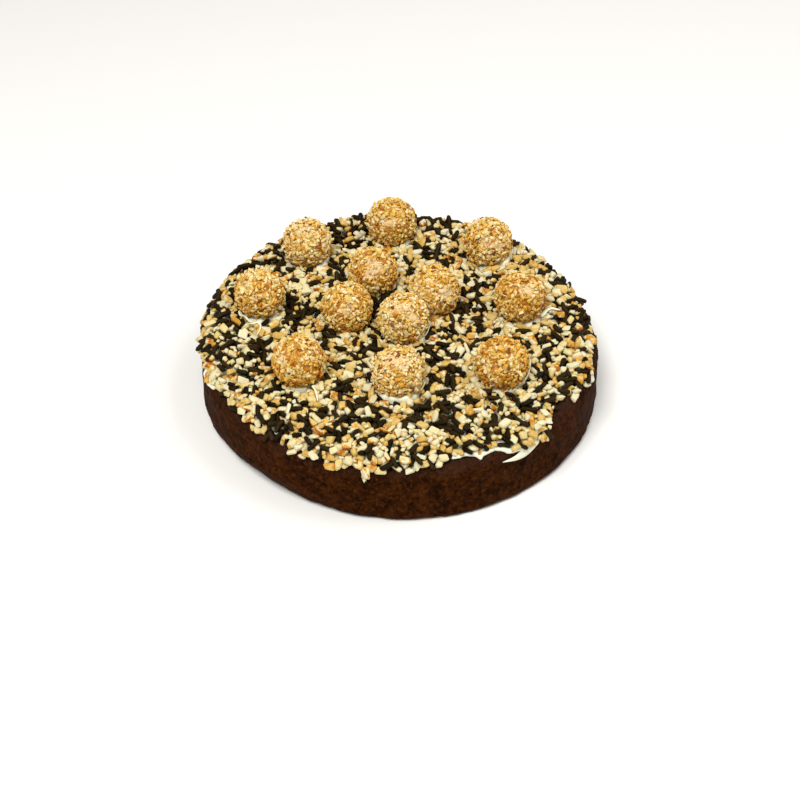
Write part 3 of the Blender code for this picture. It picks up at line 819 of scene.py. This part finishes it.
def lay_cad_pieces(heap):
    """The pieces fused to the solid, drawn in the same order, where the solid has them, but for
    the few on a bare spot or past the drawn edge."""
    draw = np.random.default_rng(STREWN_SEED + 1)
    for number, (reach, azimuth) in enumerate(cad_strewn_places()):
        is_sprinkle = number < STREWN_COUNT and in_sprinkle_blotch(
            reach * math.cos(azimuth), reach * math.sin(azimuth)
        )
        top = TOUCH_GAP + float(icing_thickness(float(icing_edge(azimuth)) - reach))
        lift = top + (SPRINKLE_LIFT if is_sprinkle else NUT_LIFT)
        place, height, slope = lying_at(reach, azimuth, lift)
        spin = draw.uniform(0, TURN)
        tip, lean = draw.uniform(-MOST_TIP, MOST_TIP), draw.uniform(-MOST_LEAN, MOST_LEAN)
        scale = draw.uniform(*SIZE_RANGE)
        near_truffle = np.hypot(*(CENTRES[:, :2] - place).T).min() < TRUFFLE_CLEARANCE
        past_edge = reach > float(topping_edge(azimuth)) - FUSED_INSET
        if near_truffle or past_edge or in_bare_spot(*place):
            continue
        kind, size = ("sprinkles", SPRINKLE_SIZE) if is_sprinkle else ("nut_chips", NUT_SIZE)
        lean = 0.0 if is_sprinkle else lean
        turn = turned((2, azimuth), (1, slope), (2, spin), (1, tip), (0, lean))
        heap.lay(kind, turn, size / 2 * scale, *place, height)


def nut_sizes(draw, kinds):
    """Half sizes of nut pieces of the given kinds, as indexes of NUT_KINDS."""
    least, more = NUT_SIZES[kinds].swapaxes(0, 1)
    return (least + more * draw.random((3, len(kinds))).T) * MM


def in_steps(draw, number):
    """Azimuths round the turn, each somewhere in its own step."""
    return TURN * (np.arange(number) + draw.uniform(0, 0.8, number)) / number


def laid_places(draw):
    """Azimuths and reaches, a row of places to choose from for each piece: rows along the edge,
    rings round the truffles, and then anywhere."""
    azimuths, reaches = [], []
    for inset, scatter, number in RIM_ROWS:
        azimuths.append(in_steps(draw, number))
        reaches.append(topping_edge(azimuths[-1]) - inset - draw.uniform(0, scatter, number))
    for away, number in SKIRT_ROWS:
        for centre in CENTRES:
            angle = in_steps(draw, number)
            x = centre[0] + (away + draw.uniform(0, SKIRT_SCATTER, number)) * np.cos(angle)
            y = centre[1] + (away + draw.uniform(0, SKIRT_SCATTER, number)) * np.sin(angle)
            azimuths.append(np.arctan2(y, x))
            reaches.append(np.hypot(x, y))
    azimuths, reaches = (
        np.tile(np.concatenate(part)[:, None], PLACE_TRIES) for part in (azimuths, reaches)
    )
    azimuths += np.linspace(-1, 1, PLACE_TRIES) * ROW_SCATTER
    anywhere = draw.uniform(0, TURN, (HEAP_COUNT, PLACE_TRIES))
    spread = (topping_edge(anywhere) - PLACE_INSET) * np.sqrt(draw.random(anywhere.shape))
    return np.concatenate([azimuths, anywhere]), np.concatenate([reaches, spread])


def fill_gaps(heap, draw):
    """Lays bits of nut over the places where the icing would still show, in random order."""
    empty = np.argwhere(heap.covers & ~heap.bare & (heap.floor - heap.base < GAP_DEPTH))
    empty = empty[draw.permutation(len(empty))]
    half_sizes = nut_sizes(draw, np.full(len(empty), 2)) * GAP_SCALE
    spins, tips = draw.uniform(0, TURN, len(empty)), draw.normal(0, GAP_TIP, len(empty))
    for (row, column), half_size, spin, tip in zip(empty, half_sizes, spins, tips):
        if heap.floor[row, column] - heap.base[row, column] <= GAP_DEPTH:
            turn = turned((2, spin), (1, tip))
            heap.lay("nut_bits", turn, half_size, heap.axis[row], heap.axis[column])


def lay_heap():
    """Lays nuts and sprinkles until the icing is covered, nuts or sprinkles by their chance there:
    of several random places each takes the one where the heap is thinnest, and lies along the
    slope that it falls on. The later a nut falls, the likelier it is a small one."""
    heap = Heap()
    lay_marked_pieces(heap)
    lay_cad_pieces(heap)
    draw = np.random.default_rng(77)
    azimuths, reaches = laid_places(draw)
    count = len(azimuths)
    radii, _, slopes = skin(reaches, MIDDLE_LIFT)
    xs, ys = radii * np.cos(azimuths), radii * np.sin(azimuths)
    sort, lateness = draw.random(count), np.arange(count) / count
    is_bit = sort < SMALL_SHARE + MORE_SMALL * lateness
    kinds = np.where(sort < SLIVER_SHARE, 1, np.where(is_bit, 2, 0))
    half_sizes = nut_sizes(draw, kinds)
    half_sizes[: sum(row[2] for row in RIM_ROWS)] *= RIM_SCALE
    spins, tips = draw.uniform(0, TURN, count), draw.normal(0, TIP, count)
    leans, stretches, widths, sorts = draw.normal(0, LEAN, count), *draw.random((3, count))
    for number in range(count):
        cells = [heap.cell(x, y) for x, y in zip(xs[number], ys[number])]
        depth, best = min((heap.floor[cell] - heap.base[cell], k) for k, cell in enumerate(cells))
        cell, x, y = cells[best], xs[number, best], ys[number, best]
        azimuth, slope = azimuths[number, best], slopes[number, best]
        if heap.bare[cell] or depth > heap.full[cell]:
            continue
        chance = heap.sprinkle_chance[cell] + (FIRST_SPRINKLES if depth < LITTLE else 0.0)
        if slope > 0.05:  # on the round shoulder
            lie = (2, azimuth), (1, ALONG_SKIN * slope), (2, -azimuth)
        else:
            rise_x, rise_y = np.clip(ALONG_HEAP * heap.slope_at(x, y), -0.6, 0.6)
            lie = (1, -math.atan(rise_x)), (0, math.atan(rise_y))
        lie = *lie, (2, spins[number]), (1, tips[number])
        if sorts[number] < np.clip(chance, *CHANCE_RANGE):
            long = SPRINKLE_LONG[0] + SPRINKLE_LONG[1] * stretches[number]
            wide = SPRINKLE_WIDE[0] + SPRINKLE_WIDE[1] * widths[number]
            heap.lay("sprinkles", turned(*lie), SPRINKLE_SIZE / 2 * (long, wide, wide), x, y)
        else:
            turn = turned(*lie, (0, leans[number]))
            heap.lay(NUT_KINDS[kinds[number]], turn, half_sizes[number], x, y)
    fill_gaps(heap, draw)
    return heap


def joined_kind(heap, kind, forms, smooth):
    """The mesh of all laid pieces of a kind, with its faces' pieces and middles."""
    picks, turns, sizes, places = zip(*(piece[1:] for piece in heap.placed if piece[0] == kind))
    parts = (np.array(part) for part in (picks, turns, sizes, places))
    return joined_pieces(kind, forms, *parts, smooth)


# the shares of pale nuts, of those toasted on a side, and of those toasted all over
PALE_SHARE, SIDE_SHARE, ALL_OVER_SHARE = 0.56, 0.53, 0.15


def toast_nuts(kind, nuts, owners, middles):
    """Two numbers for each face: its chip's tone, 0 pale to 1 golden, and how toasted it is: some
    chips all over in blotches, some on a random side. The listed pieces have their own."""
    draw = np.random.default_rng(5 + len(kind))
    count = owners.max() + 1
    is_pale = draw.random(count) < PALE_SHARE
    tone = np.where(is_pale, draw.uniform(0, 0.3, count), draw.uniform(0.25, 1.0, count))
    towards = towards_a_side(draw, owners, middles)
    side = on_some(draw, count, SIDE_SHARE, 0.35, 1)
    all_over = on_some(draw, count, ALL_OVER_SHARE, 0.2, 0.6)
    marked = [piece[-2:] for piece in MARKED_PIECES if piece[0] == kind]
    for number, (own_tone, own_toast) in enumerate(marked):
        tone[number], side[number], all_over[number] = own_tone, 0.5 * own_toast, 0.6 * own_toast
    toast = np.clip((towards - 0.1) / 0.5, 0, 1) * side[owners] + all_over[owners]
    tone = tone[owners] + draw.uniform(-0.1, 0.1, len(owners))
    put_attributes(nuts, "FACE", tone=np.clip(tone, 0, 1), toast=np.clip(toast, 0, 1))


def make_heap():
    """The heap, and one mesh for each kind of piece on it, sprinkles last."""
    heap = lay_heap()
    pieces = []
    for kind in NUT_KINDS:
        nuts, owners, middles = joined_kind(heap, kind, NUT_FORMS, 0.75)
        toast_nuts(kind, nuts, owners, middles)
        pieces.append(nuts)
    sprinkles, owners, _ = joined_kind(heap, "sprinkles", SPRINKLE_FORMS, 1.0)
    tone = np.random.default_rng(6).random(owners.max() + 1)
    put_attributes(sprinkles, "FACE", tone=tone[owners])
    return heap, pieces, sprinkles


# The truffles' coat

# for each truffle, from 0 pale to 1 golden
TRUFFLE_TONES = (0.28, 0.5, 0.42, 0.58, 0.48, 0.62, 0.4, 0.62, 0.32, 0.66, 0.25, 0.62)
# kind of crumb: its forms' first seed and their corners; how many on each truffle, least half
# sizes, how much larger they can be, how far their middles lie below the truffle's outside at least
# and at most, in millimetres; the share that are flecks of skin
CRUMB_KINDS = {
    "fine_crumbs": (900, 10, 880, (0.50, 0.34, 0.28), (0.60, 0.28, 0.18), (0.75, 1.3), 0.012),
    "coarse_crumbs": (950, 14, 470, (0.85, 0.56, 0.38), (1.10, 0.55, 0.32), (0.3, 1.25), 0.035),
}
CRUMB_FORM_COUNT = 24
CRUMB_TILT, TONE_SCATTER = 0.45, 0.42  # standard deviations, in radians and in tones


def make_crumbs(name):
    """Crumbs of one kind on every truffle, on a sunflower's spiral over the ball, flat to it with
    some tilt; fewer on the bare patches of its coat, and none under the icing."""
    seed, corners, each, least, more, depths, fleck_share = CRUMB_KINDS[name]
    forms = [crumb_form(seed + n, corners) for n in range(CRUMB_FORM_COUNT)]
    draw = np.random.default_rng(15 + each)
    found = []
    for number, (centre, radius) in enumerate(BALLS):
        upright, azimuth = spiral(each)
        azimuth = azimuth + number + draw.normal(0, 0.07, each)
        down = np.arccos(upright) + draw.normal(0, 0.05, each)
        ways = polar(np.sin(down), azimuth, np.cos(down))
        patch = bare_and_highlit_coat(ways, number)
        kept = draw.random(each) > 0.35 * patch
        kept &= centre[2] + ways[:, 2] * radius > ICING_TOP + 0.3 * MM
        down, azimuth, ways, patch = down[kept], azimuth[kept], ways[kept], patch[kept]
        count = len(ways)
        half = (np.array(least) + np.array(more) * draw.random((count, 3)) ** 1.5) * MM
        lean, tip = draw.normal(0, CRUMB_TILT, (2, count))
        spin = draw.uniform(0, TURN, count)
        turn = turned((2, azimuth), (1, down), (2, spin), (1, lean), (0, tip))
        place = centre + ways * (radius - draw.uniform(*depths, count)[:, None] * MM)
        clustered = 0.3 * lattice_noise(ways + 1.3 * number, 0.4, 23)
        tone = np.clip(draw.normal(TRUFFLE_TONES[number] + clustered, TONE_SCATTER, count), 0, 1.25)
        # on the bare patches the crumbs are glazed paler, partly as a painted highlight
        glaze = np.clip(patch * draw.uniform(0.5, 1.2, count), 0, 1)
        found.append((draw.integers(0, len(forms), count), turn, half, place, tone, glaze))
    *parts, tone, glaze = (np.concatenate(part) for part in zip(*found))
    crumbs, owners, middles = joined_pieces(name, forms, *parts, 0.3)
    fleck = on_some(draw, len(tone), fleck_share, 0.8, 1)
    toast = 0.4 * np.clip(towards_a_side(draw, owners, middles) - 0.1, 0, 1)
    # painted shade: faces on a crumb's underside, towards the core, are pushed towards amber and
    # brown, darkening the gaps between crumbs
    toast = toast + 0.45 * np.clip(0.35 - middles[:, 2], 0, 1)
    tone = np.clip(tone[owners] + toast, 0, 1.4)
    put_attributes(crumbs, "FACE", tone=tone, fleck=fleck[owners], glaze=glaze[owners])
    return crumbs


# Squeezed icing and threads

LIP_ROWS, LIP_COLUMNS = 14, 96
# how far inside the ball's outline a lip starts, how far it spreads past its own thickness, and how
# deep it reaches into the icing
LIP_INSIDE, LIP_SPREAD, LIP_SUNK = 0.9 * MM, 1.3 * MM, 0.7 * MM
LOW_CREST, LOW_THICKNESS = 0.6, 0.7  # millimetres, between the bulges


def lip_crest(number, angle):
    """How high a truffle's ring of icing climbs above the icing's top round the truffle, and how
    thick it is: flat-topped bumps exp(-(angle from the middle / half spread)^4)."""
    crest, thick = LOW_CREST + 0 * angle, LOW_THICKNESS + 0 * angle
    for mine, way, spread, height, width in LIPS:
        if mine == number:
            off = angle_from(angle, math.radians(way)) / math.radians(spread)
            crest = np.maximum(crest, height * np.exp(-(off**4)))
            thick = np.maximum(thick, width * np.exp(-(off**4)))
    return crest * MM, thick * MM


def make_lips():
    """The icing squeezed out round some truffles: from the crest, just inside the ball, outwards by
    across^0.8 and down to the icing by (1 - across^4)^0.5."""
    angle, across = around(LIP_COLUMNS), np.linspace(0, 1, LIP_ROWS)[:, None]
    lips = []
    for number in sorted({lip[0] for lip in LIPS}):
        centre, radius = BALLS[number - 1]
        wave = layered_noise(polar(1, angle, number), 0.35, 71, 3)
        crest, thick = lip_crest(number, angle)
        crest = crest * (1 + 0.22 * wave)
        outline = np.sqrt(radius**2 - (centre[2] - ICING_TOP - crest) ** 2)
        away = outline - LIP_INSIDE + (thick * (1 + 0.25 * wave) + LIP_SPREAD) * across**0.8
        height = ICING_TOP - LIP_SUNK + (crest + LIP_SUNK) * (1 - across**4) ** 0.5
        middle = centre * (1, 1, 0)
        poles = middle + (0, 0, ICING_TOP), middle + (0, 0, ICING_TOP - 0.9 * MM)
        lips.append((middle + polar(away, angle, height), *poles))
    return turned_object("squeezed_icing", lips)


THREADS = (
    # x and y in millimetres along a thread of icing, then its radius at its start and end
    (((59.5, 5.5), (63.1, 9.2), (65.8, 9.5), (68.2, 8.0)), 1.1, 0.3),
    (((50.0, 55.0), (49.5, 49.5), (46.6, 44.6)), 0.5, 0.3),
    (((-68.5, 9.0), (-66.0, 6.0), (-62.5, 0.5)), 0.9, 0.4),
    (((-63.2, -1.2), (-60.0, -0.4), (-58.4, -3.2), (-59.8, -8.6)), 0.5, 0.25),
    (((-35.3, -41.0), (-33.8, -44.0), (-33.2, -47.0), (-32.7, -50.0)), 0.42, 0.28),
    (((53.3, -24.0), (52.4, -29.0), (50.3, -34.6), (47.6, -39.6), (45.3, -44.2)), 0.45, 0.3),
)
# and round a truffle's outline as seen from the front: its number, from and to in degrees, its
# radius at its start and end in millimetres
OUTLINE_THREADS = ((12, 12, -72, 0.32, 0.42), (11, -18, -44, 0.25, 0.4), (9, -8, -42, 0.25, 0.4))
# the smear on the bare crust: azimuth in degrees and reach in millimetres along it
SMEAR = ((-48.8, 82.2), (-52.0, 84.4), (-56.5, 86.1), (-61.4, 85.6))
THREAD_STEPS, THREAD_SIDES = 24, 10


def curve_through(marks):
    """Points on a smooth curve through the marks: Catmull-Rom's cubic between each pair."""
    marks = np.asarray(marks, float)
    padded = np.concatenate([[2 * marks[0] - marks[1]], marks, [2 * marks[-1] - marks[-2]]])
    at = np.linspace(0, len(marks) - 1 - 1e-9, THREAD_STEPS)
    k, t = np.floor(at).astype(int), (at % 1)[:, None]
    a, b, c, d = (padded[k + shift] for shift in range(4))
    square, cube = 2 * a - 5 * b + 4 * c - d, 3 * b - a - 3 * c + d
    return 0.5 * (2 * b + (c - a) * t + square * t**2 + cube * t**3)


def tube(path, up, thick, thin, flatness):
    """A closed tube along a path: at each point the path's side vector and the up vector times the
    cosine and sine round the ring, flattened along up. Its radius goes from thick to thin in
    millimetres, with small waves, and rounds off at both ends."""
    side = unit(np.cross(unit(np.gradient(path, axis=0)), up))
    t, angle = np.linspace(0, 1, THREAD_STEPS), around(THREAD_SIDES)[:, None]
    radii = (thick + (thin - thick) * t) * np.sqrt(1 - (2 * t - 1) ** 8 + 0.02) * MM
    radii = radii * (1 + 0.15 * np.sin(9 * t + thick * 7))
    ring = side[:, None] * np.cos(angle) + flatness * up[:, None] * np.sin(angle)
    return path[:, None] + ring * radii[:, None, None], path[0], path[-1]


def make_threads(heap):
    """Threads and a smear of icing that trailed from the knife, lying on the heap and the crust."""
    tubes = []
    for marks, thick, thin in THREADS:
        flat = curve_through(np.array(marks) * MM)
        heights = [np.quantile(heap.floor[heap.window(x, y, 0.8 * MM)[0]], 0.95) for x, y in flat]
        heights = np.convolve(np.pad(heights, 3, "edge"), np.ones(7) / 7, "valid")
        path = np.column_stack([flat, heights + 0.3 * MM])
        tubes.append(tube(path, np.tile((0.0, 0.0, 1.0), (THREAD_STEPS, 1)), thick, thin, 0.6))
    for number, start, end, thick, thin in OUTLINE_THREADS:
        centre, radius = BALLS[number - 1]
        angle = np.radians(np.linspace(start, end, THREAD_STEPS))
        ways = from_view(np.cos(angle), np.sin(angle))
        tubes.append(tube(centre + ways * (radius + 0.2 * MM), ways, thick, thin, 1.0))
    azimuth, reach = curve_through(SMEAR).T * ((math.pi / 180,), (MM,))
    path = on_skin(reach, azimuth, 0.1 * MM)
    tubes.append(tube(path, unit(on_skin(reach, azimuth, 1.0 * MM) - path), 3.1, 0.3, 0.32))
    return turned_object("icing_threads", tubes)


# Shader building blocks


class Nodes:
    """A node tree, and the few steps that the cake's looks are made of. An input, by its name or
    number, is given a value or a socket to link to it."""

    def __init__(self, tree):
        self.tree = tree

    def feed(self, node, inputs):
        for name, value in inputs.items():
            if isinstance(value, bpy.types.NodeSocket):
                self.tree.links.new(value, node.inputs[name])
            else:
                node.inputs[name].default_value = value

    def add(self, kind, inputs, **settings):
        node = self.tree.nodes.new("ShaderNode" + kind)
        for name, value in settings.items():
            setattr(node, name, value)
        self.feed(node, inputs)
        return node.outputs

    def noise(self, vector, scale, detail, roughness):
        inputs = {"Vector": vector, "Scale": scale, "Detail": detail, "Roughness": roughness}
        return self.add("TexNoise", inputs)["Fac"]

    def maths(self, operation, one, two):
        return self.add("Math", {0: one, 1: two}, operation=operation)[0]

    def times(self, one, two):
        return self.maths("MULTIPLY", one, two)

    def remapped(self, value, low, high, to_low=0.0, to_high=1.0):
        ends = {"From Min": low, "From Max": high, "To Min": to_low, "To Max": to_high}
        return self.add("MapRange", {"Value": value, **ends})["Result"]

    def mixed(self, factor, one, two):
        """A colour between two, each a socket or a triple."""
        one, two = ((*part, 1.0) if isinstance(part, tuple) else part for part in (one, two))
        return self.add("Mix", {0: factor, 6: one, 7: two}, data_type="RGBA")[2]

    def ramp(self, value, colour, *steps):
        """A colour that turns to others, each as the value goes from low to high: (low, high,
        other)."""
        for low, high, other in steps:
            colour = self.mixed(self.remapped(value, low, high), colour, other)
        return colour


class Group(Nodes):
    """A node group with a vector and numbers as its inputs, each with its default, and one number
    as its output."""

    def __init__(self, name, output, **defaults):
        super().__init__(bpy.data.node_groups.new(name, "ShaderNodeTree"))
        sockets = self.tree.interface
        sockets.new_socket("Vector", in_out="INPUT", socket_type="NodeSocketVector")
        for label, default in defaults.items():
            socket = sockets.new_socket(label, in_out="INPUT", socket_type="NodeSocketFloat")
            socket.default_value = default
        sockets.new_socket(output, in_out="OUTPUT", socket_type="NodeSocketFloat")
        self.given = self.tree.nodes.new("NodeGroupInput").outputs
        self.result = self.tree.nodes.new("NodeGroupOutput")

    def scaled_noise(self, factor, detail):
        scale = self.times(self.given["Scale"], factor)
        return self.noise(self.given["Vector"], scale, detail, 0.5)


def make_grain_group():
    """Fine relief of broken nut or crumb: noise at a size and a quarter of it, in one height."""
    grain = Group("broken_grain", "Height", Scale=800.0)
    fine = grain.times(grain.scaled_noise(4.0, 2.0), 0.45)
    grain.feed(grain.result, {"Height": grain.maths("ADD", grain.scaled_noise(1.0, 2.0), fine)})
    return grain.tree


def make_pore_group():
    """Small round pores: a mask that is 1 in the hollows of a cell pattern, broken up by noise."""
    pores = Group("pores", "Mask", Scale=600.0, Width=0.35)
    given = pores.given
    cells = pores.add("TexVoronoi", {"Vector": given["Vector"], "Scale": given["Scale"]})
    patches = pores.remapped(pores.scaled_noise(0.3, 1.0), 0.35, 0.7)
    inside = pores.maths("SUBTRACT", pores.times(given["Width"], patches), cells["Distance"])
    pores.feed(pores.result, {"Mask": pores.remapped(inside, 0.0, 0.12)})
    return pores.tree


class Material(Nodes):
    """A new material's nodes: its Object coordinates, and its Principled shader."""

    def __init__(self, name):
        self.material = bpy.data.materials.new(name)
        self.material.use_nodes = True
        super().__init__(self.material.node_tree)
        self.shader = self.tree.nodes["Principled BSDF"]
        self.vector = self.add("TexCoord", {})["Object"]

    def clouds(self, size, detail=3, roughness=0.55):
        """Noise from 0 to 1 whose features are about as large as the size, in metres."""
        return self.noise(self.vector, 1 / size, detail, roughness)

    def attribute(self, name):
        return self.add("Attribute", {}, attribute_name=name)["Fac"]

    def varied(self, name, cloud, by):
        """An attribute made uneven by a noise."""
        return self.maths("ADD", self.attribute(name), self.remapped(cloud, 0.3, 0.7, -by, by))

    def grouped(self, group, **numbers):
        return self.add("Group", {"Vector": self.vector, **numbers}, node_tree=group)[0]

    def finish(self, colour, cloud, roughness, relief, depth, more):
        """Gives the shader its colour, a roughness that the cloud varies between two values, a
        relief of some depth and more inputs, and gives back the material."""
        bump = self.add("Bump", {"Strength": 1.0, "Distance": depth, "Height": relief})
        rough = self.remapped(cloud, 0.3, 0.7, *roughness)
        inputs = {"Base Color": colour, "Roughness": rough, "Normal": bump["Normal"], **more}
        self.feed(self.shader, inputs)
        return self.material


def let_through(weight, reach=1.0 * MM, colour=(1.0, 0.5, 0.18)):
    """Shader inputs that let light in by about a millimetre, most of it red."""
    return {"Subsurface Weight": weight, "Subsurface Scale": reach, "Subsurface Radius": colour}


# Materials


def sponge_material(grain, pores):
    """Very dark brown crumb, mottled, with pale speckles that are partly painted glints, pores
    darkened with painted shade, and a lighter and drier crust on the shoulder that is partly
    painted light where it faces up.
    """
    sponge = Material("baked_sponge")
    mottle, speckle = sponge.clouds(6 * MM, 5, 0.7), sponge.clouds(1.9 * MM, 4, 0.75)
    colour = sponge.ramp(mottle, (0.017, 0.0041, 0.0006), (0.38, 0.64, (0.052, 0.0135, 0.0020)))
    # the pale speckles are partly the crumb's own uneven colour and partly painted glints
    pale, dark = (0.088, 0.0275, 0.0058), (0.004, 0.0010, 0.0002)
    colour = sponge.ramp(speckle, colour, (0.52, 0.70, pale), (0.47, 0.33, dark))
    height = sponge.add("SeparateXYZ", {"Vector": sponge.vector})["Z"]
    height = sponge.maths("ADD", height, sponge.times(mottle, 5 * MM))
    # the crust's colour, lighter than the side, is partly the drier crust's own and partly painted
    # light on the shoulder that faces up
    crust = sponge.mixed(speckle, (0.016, 0.0058, 0.0030), (0.056, 0.024, 0.0135))
    colour = sponge.ramp(height, colour, (CAKE_HEIGHT - 2.6 * MM, CAKE_HEIGHT + 2.6 * MM, crust))
    holes = sponge.grouped(pores, Scale=950.0, Width=0.36)
    # painted shade: the pores' hollows darkened nearly to black
    colour = sponge.mixed(sponge.times(holes, 0.75), colour, (0.010, 0.003, 0.001))
    relief = sponge.maths("SUBTRACT", sponge.grouped(grain, Scale=620.0), sponge.times(holes, 0.9))
    more = {"Specular IOR Level": 0.02, "Specular Tint": (1.0, 0.6, 0.3, 1)}
    return sponge.finish(colour, speckle, (0.5, 0.8), relief, 0.8 * MM, more)


def icing_material(grain):
    """Ivory white icing, slightly uneven in colour, half matt."""
    icing = Material("white_icing")
    cloud = icing.clouds(5 * MM)
    colour = icing.ramp(cloud, (0.80, 0.78, 0.55), (0.3, 0.7, (0.88, 0.87, 0.70)))
    relief, more = icing.grouped(grain, Scale=500.0), let_through(0.15, 1.2 * MM, (1.0, 0.8, 0.5))
    return icing.finish(colour, cloud, (0.36, 0.5), relief, 0.08 * MM, more)


def nut_material(grain):
    """Chopped nut: pale cream to golden by each chip's tone, with orange-brown blotches where it
    was toasted."""
    nut = Material("chopped_nut")
    cloud, blotch = nut.clouds(1.6 * MM), nut.clouds(2.6 * MM, 2)
    cream, straw, gold = (0.68, 0.625, 0.415), (0.645, 0.51, 0.200), (0.54, 0.325, 0.065)
    tone = nut.varied("tone", cloud, 0.15)
    colour = nut.ramp(tone, cream, (0.0, 0.5, straw), (0.4, 1.0, gold))
    amber, orange, brown = (0.62, 0.43, 0.12), (0.57, 0.25, 0.02), (0.30, 0.08, 0.012)
    toast = nut.times(nut.attribute("toast"), nut.remapped(blotch, 0.38, 0.56, 0.0, 1.6))
    colour = nut.ramp(toast, colour, (0.1, 0.4, amber), (0.4, 0.9, orange), (0.9, 1.5, brown))
    relief, more = nut.grouped(grain, Scale=700.0), {"Specular IOR Level": 0.2, **let_through(0.25)}
    return nut.finish(colour, cloud, (0.42, 0.62), relief, 0.14 * MM, more)


def sprinkle_material(grain):
    """Dark chocolate sprinkles, nearly black, matt with a soft sheen."""
    sprinkle = Material("dark_sprinkle")
    cloud = sprinkle.clouds(1.5 * MM)
    shade = sprinkle.varied("tone", cloud, 0.3)
    black, brown = (0.0050, 0.0026, 0.0006), (0.0250, 0.0145, 0.0040)
    colour = sprinkle.ramp(shade, black, (0.0, 1.0, brown))
    relief = sprinkle.grouped(grain, Scale=1100.0)
    more = {"Specular IOR Level": 0.14, "Specular Tint": (1.0, 0.7, 0.35, 1)}
    return sprinkle.finish(colour, cloud, (0.45, 0.7), relief, 0.22 * MM, more)


def core_material(grain):
    """The coat between a truffle's crumbs: toasted brown, partly painted shade that makes the gaps
    between crumbs darker and more orange, and pinkish cream where it lies bare, partly a painted
    highlight.
    """
    core = Material("truffle_coat")
    cloud = core.clouds(1.2 * MM)
    # toasted brown, partly painted shade: darker and more orange so that the gaps between crumbs
    # look shaded
    toasted = core.ramp(cloud, (0.46, 0.190, 0.010), (0.38, 0.62, (0.63, 0.35, 0.065)))
    # pinkish cream where the coat lies bare, partly a painted highlight
    bare = core.ramp(cloud, (0.74, 0.54, 0.29), (0.38, 0.62, (0.66, 0.45, 0.20)))
    colour = core.mixed(core.attribute("bare"), toasted, bare)
    relief, more = core.grouped(grain, Scale=800.0), {"Specular IOR Level": 0.3}
    return core.finish(colour, cloud, (0.4, 0.6), relief, 0.2 * MM, more)


def crumb_material(grain):
    """Fine toasted nut: cream to golden to amber by each crumb's tone, with red-brown flecks. The
    tone is pushed towards amber on crumbs' undersides as painted shade, and glazed crumbs are
    paler, partly as a painted highlight.
    """
    crumb = Material("toasted_crumb")
    cloud = crumb.clouds(1.0 * MM)
    cream, gold = (0.785, 0.635, 0.35), (0.755, 0.495, 0.125)
    amber, brown = (0.63, 0.325, 0.030), (0.40, 0.120, 0.006)
    tone = crumb.varied("tone", cloud, 0.15)
    colour = crumb.ramp(tone, cream, (0.0, 0.55, gold), (0.5, 1.0, amber), (0.95, 1.4, brown))
    # crumbs on the bare patches turn paler cream: partly glaze and partly a painted highlight
    glaze = crumb.times(crumb.attribute("glaze"), 0.7)
    colour = crumb.mixed(glaze, colour, (0.76, 0.555, 0.30))
    colour = crumb.mixed(crumb.attribute("fleck"), colour, (0.17, 0.038, 0.003))
    relief = crumb.grouped(grain, Scale=1300.0)
    more = {"Specular IOR Level": 0.25, **let_through(0.4)}
    return crumb.finish(colour, cloud, (0.42, 0.65), relief, 0.1 * MM, more)


# Stage, light and camera


def make_stage():
    """A plain pale floor just under the cake's base."""
    half, drop = 2.0, 0.05 * MM
    corners = np.array([(-1, -1, -1), (1, -1, -1), (1, 1, -1), (-1, 1, -1)]) * (half, half, drop)
    floor = mesh_object("floor", corners, [np.array([[0, 1, 2, 3]])])
    pale = Material("pale_floor")
    pale.feed(pale.shader, {"Base Color": (0.84, 0.82, 0.78, 1), "Roughness": 0.7})
    floor.data.materials.append(pale.material)


def add_softbox(name, place, size, power):
    """A square area light that faces the cake."""
    light = bpy.data.lights.new(name, "AREA")
    light.shape, light.size, light.energy = "SQUARE", size, power
    box = add_object(name, light)
    box.location = place
    box.rotation_euler = (-Vector(place)).to_track_quat("-Z", "Y").to_euler()


def light_and_camera():
    scene = bpy.context.scene
    world = scene.world = bpy.data.worlds.new("studio")
    world.use_nodes = True
    sky = world.node_tree.nodes["Background"].inputs
    sky["Color"].default_value, sky["Strength"].default_value = (1, 1, 1, 1), 0.40
    add_softbox("overhead", (-0.25, -0.45, 1.0), 0.5, 11.5)
    add_softbox("side", (0.6, 0.1, 0.9), 0.6, 4.5)
    lens = bpy.data.cameras.new("camera")
    lens.lens, lens.sensor_width = CAMERA_LENS, SENSOR
    lens.clip_start, lens.clip_end = 0.01, 20
    camera = scene.camera = add_object("camera", lens)
    camera.rotation_euler = (math.pi / 2 - CAMERA_PITCH, 0, 0)
    camera.location = CAMERA_PLACE
    scene.view_settings.view_transform = "Standard"


# Assembly


def dress(obj, material, slot, *nodes):
    """Gives a piece its material, its body and the nodes that it stands for; the slot is not used.
    """
    obj.data.materials.append(material)
    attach(obj, "root")
    if nodes:
        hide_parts(*nodes)


def main():
    grain, pores = make_grain_group(), make_pore_group()
    dress(make_sponge(), sponge_material(grain, pores), "brownie", "brownie")
    heap, nuts, sprinkles = make_heap()
    icing, nut, core, crumb = (
        make(grain) for make in (icing_material, nut_material, core_material, crumb_material)
    )
    for piece in (make_icing(), make_lips(), make_threads(heap)):
        dress(piece, icing, "icing", "icing")
    for piece in nuts:
        dress(piece, nut, "icing", "icing")
    dress(sprinkles, sprinkle_material(grain), "icing", "icing")
    for number, (node, ball) in enumerate(zip(truffle_nodes(), BALLS), start=1):
        dress(make_core(number, *ball), core, "truffle", node)
    for name in CRUMB_KINDS:
        dress(make_crumbs(name), crumb, "truffle")
    make_stage()
    light_and_camera()


main()
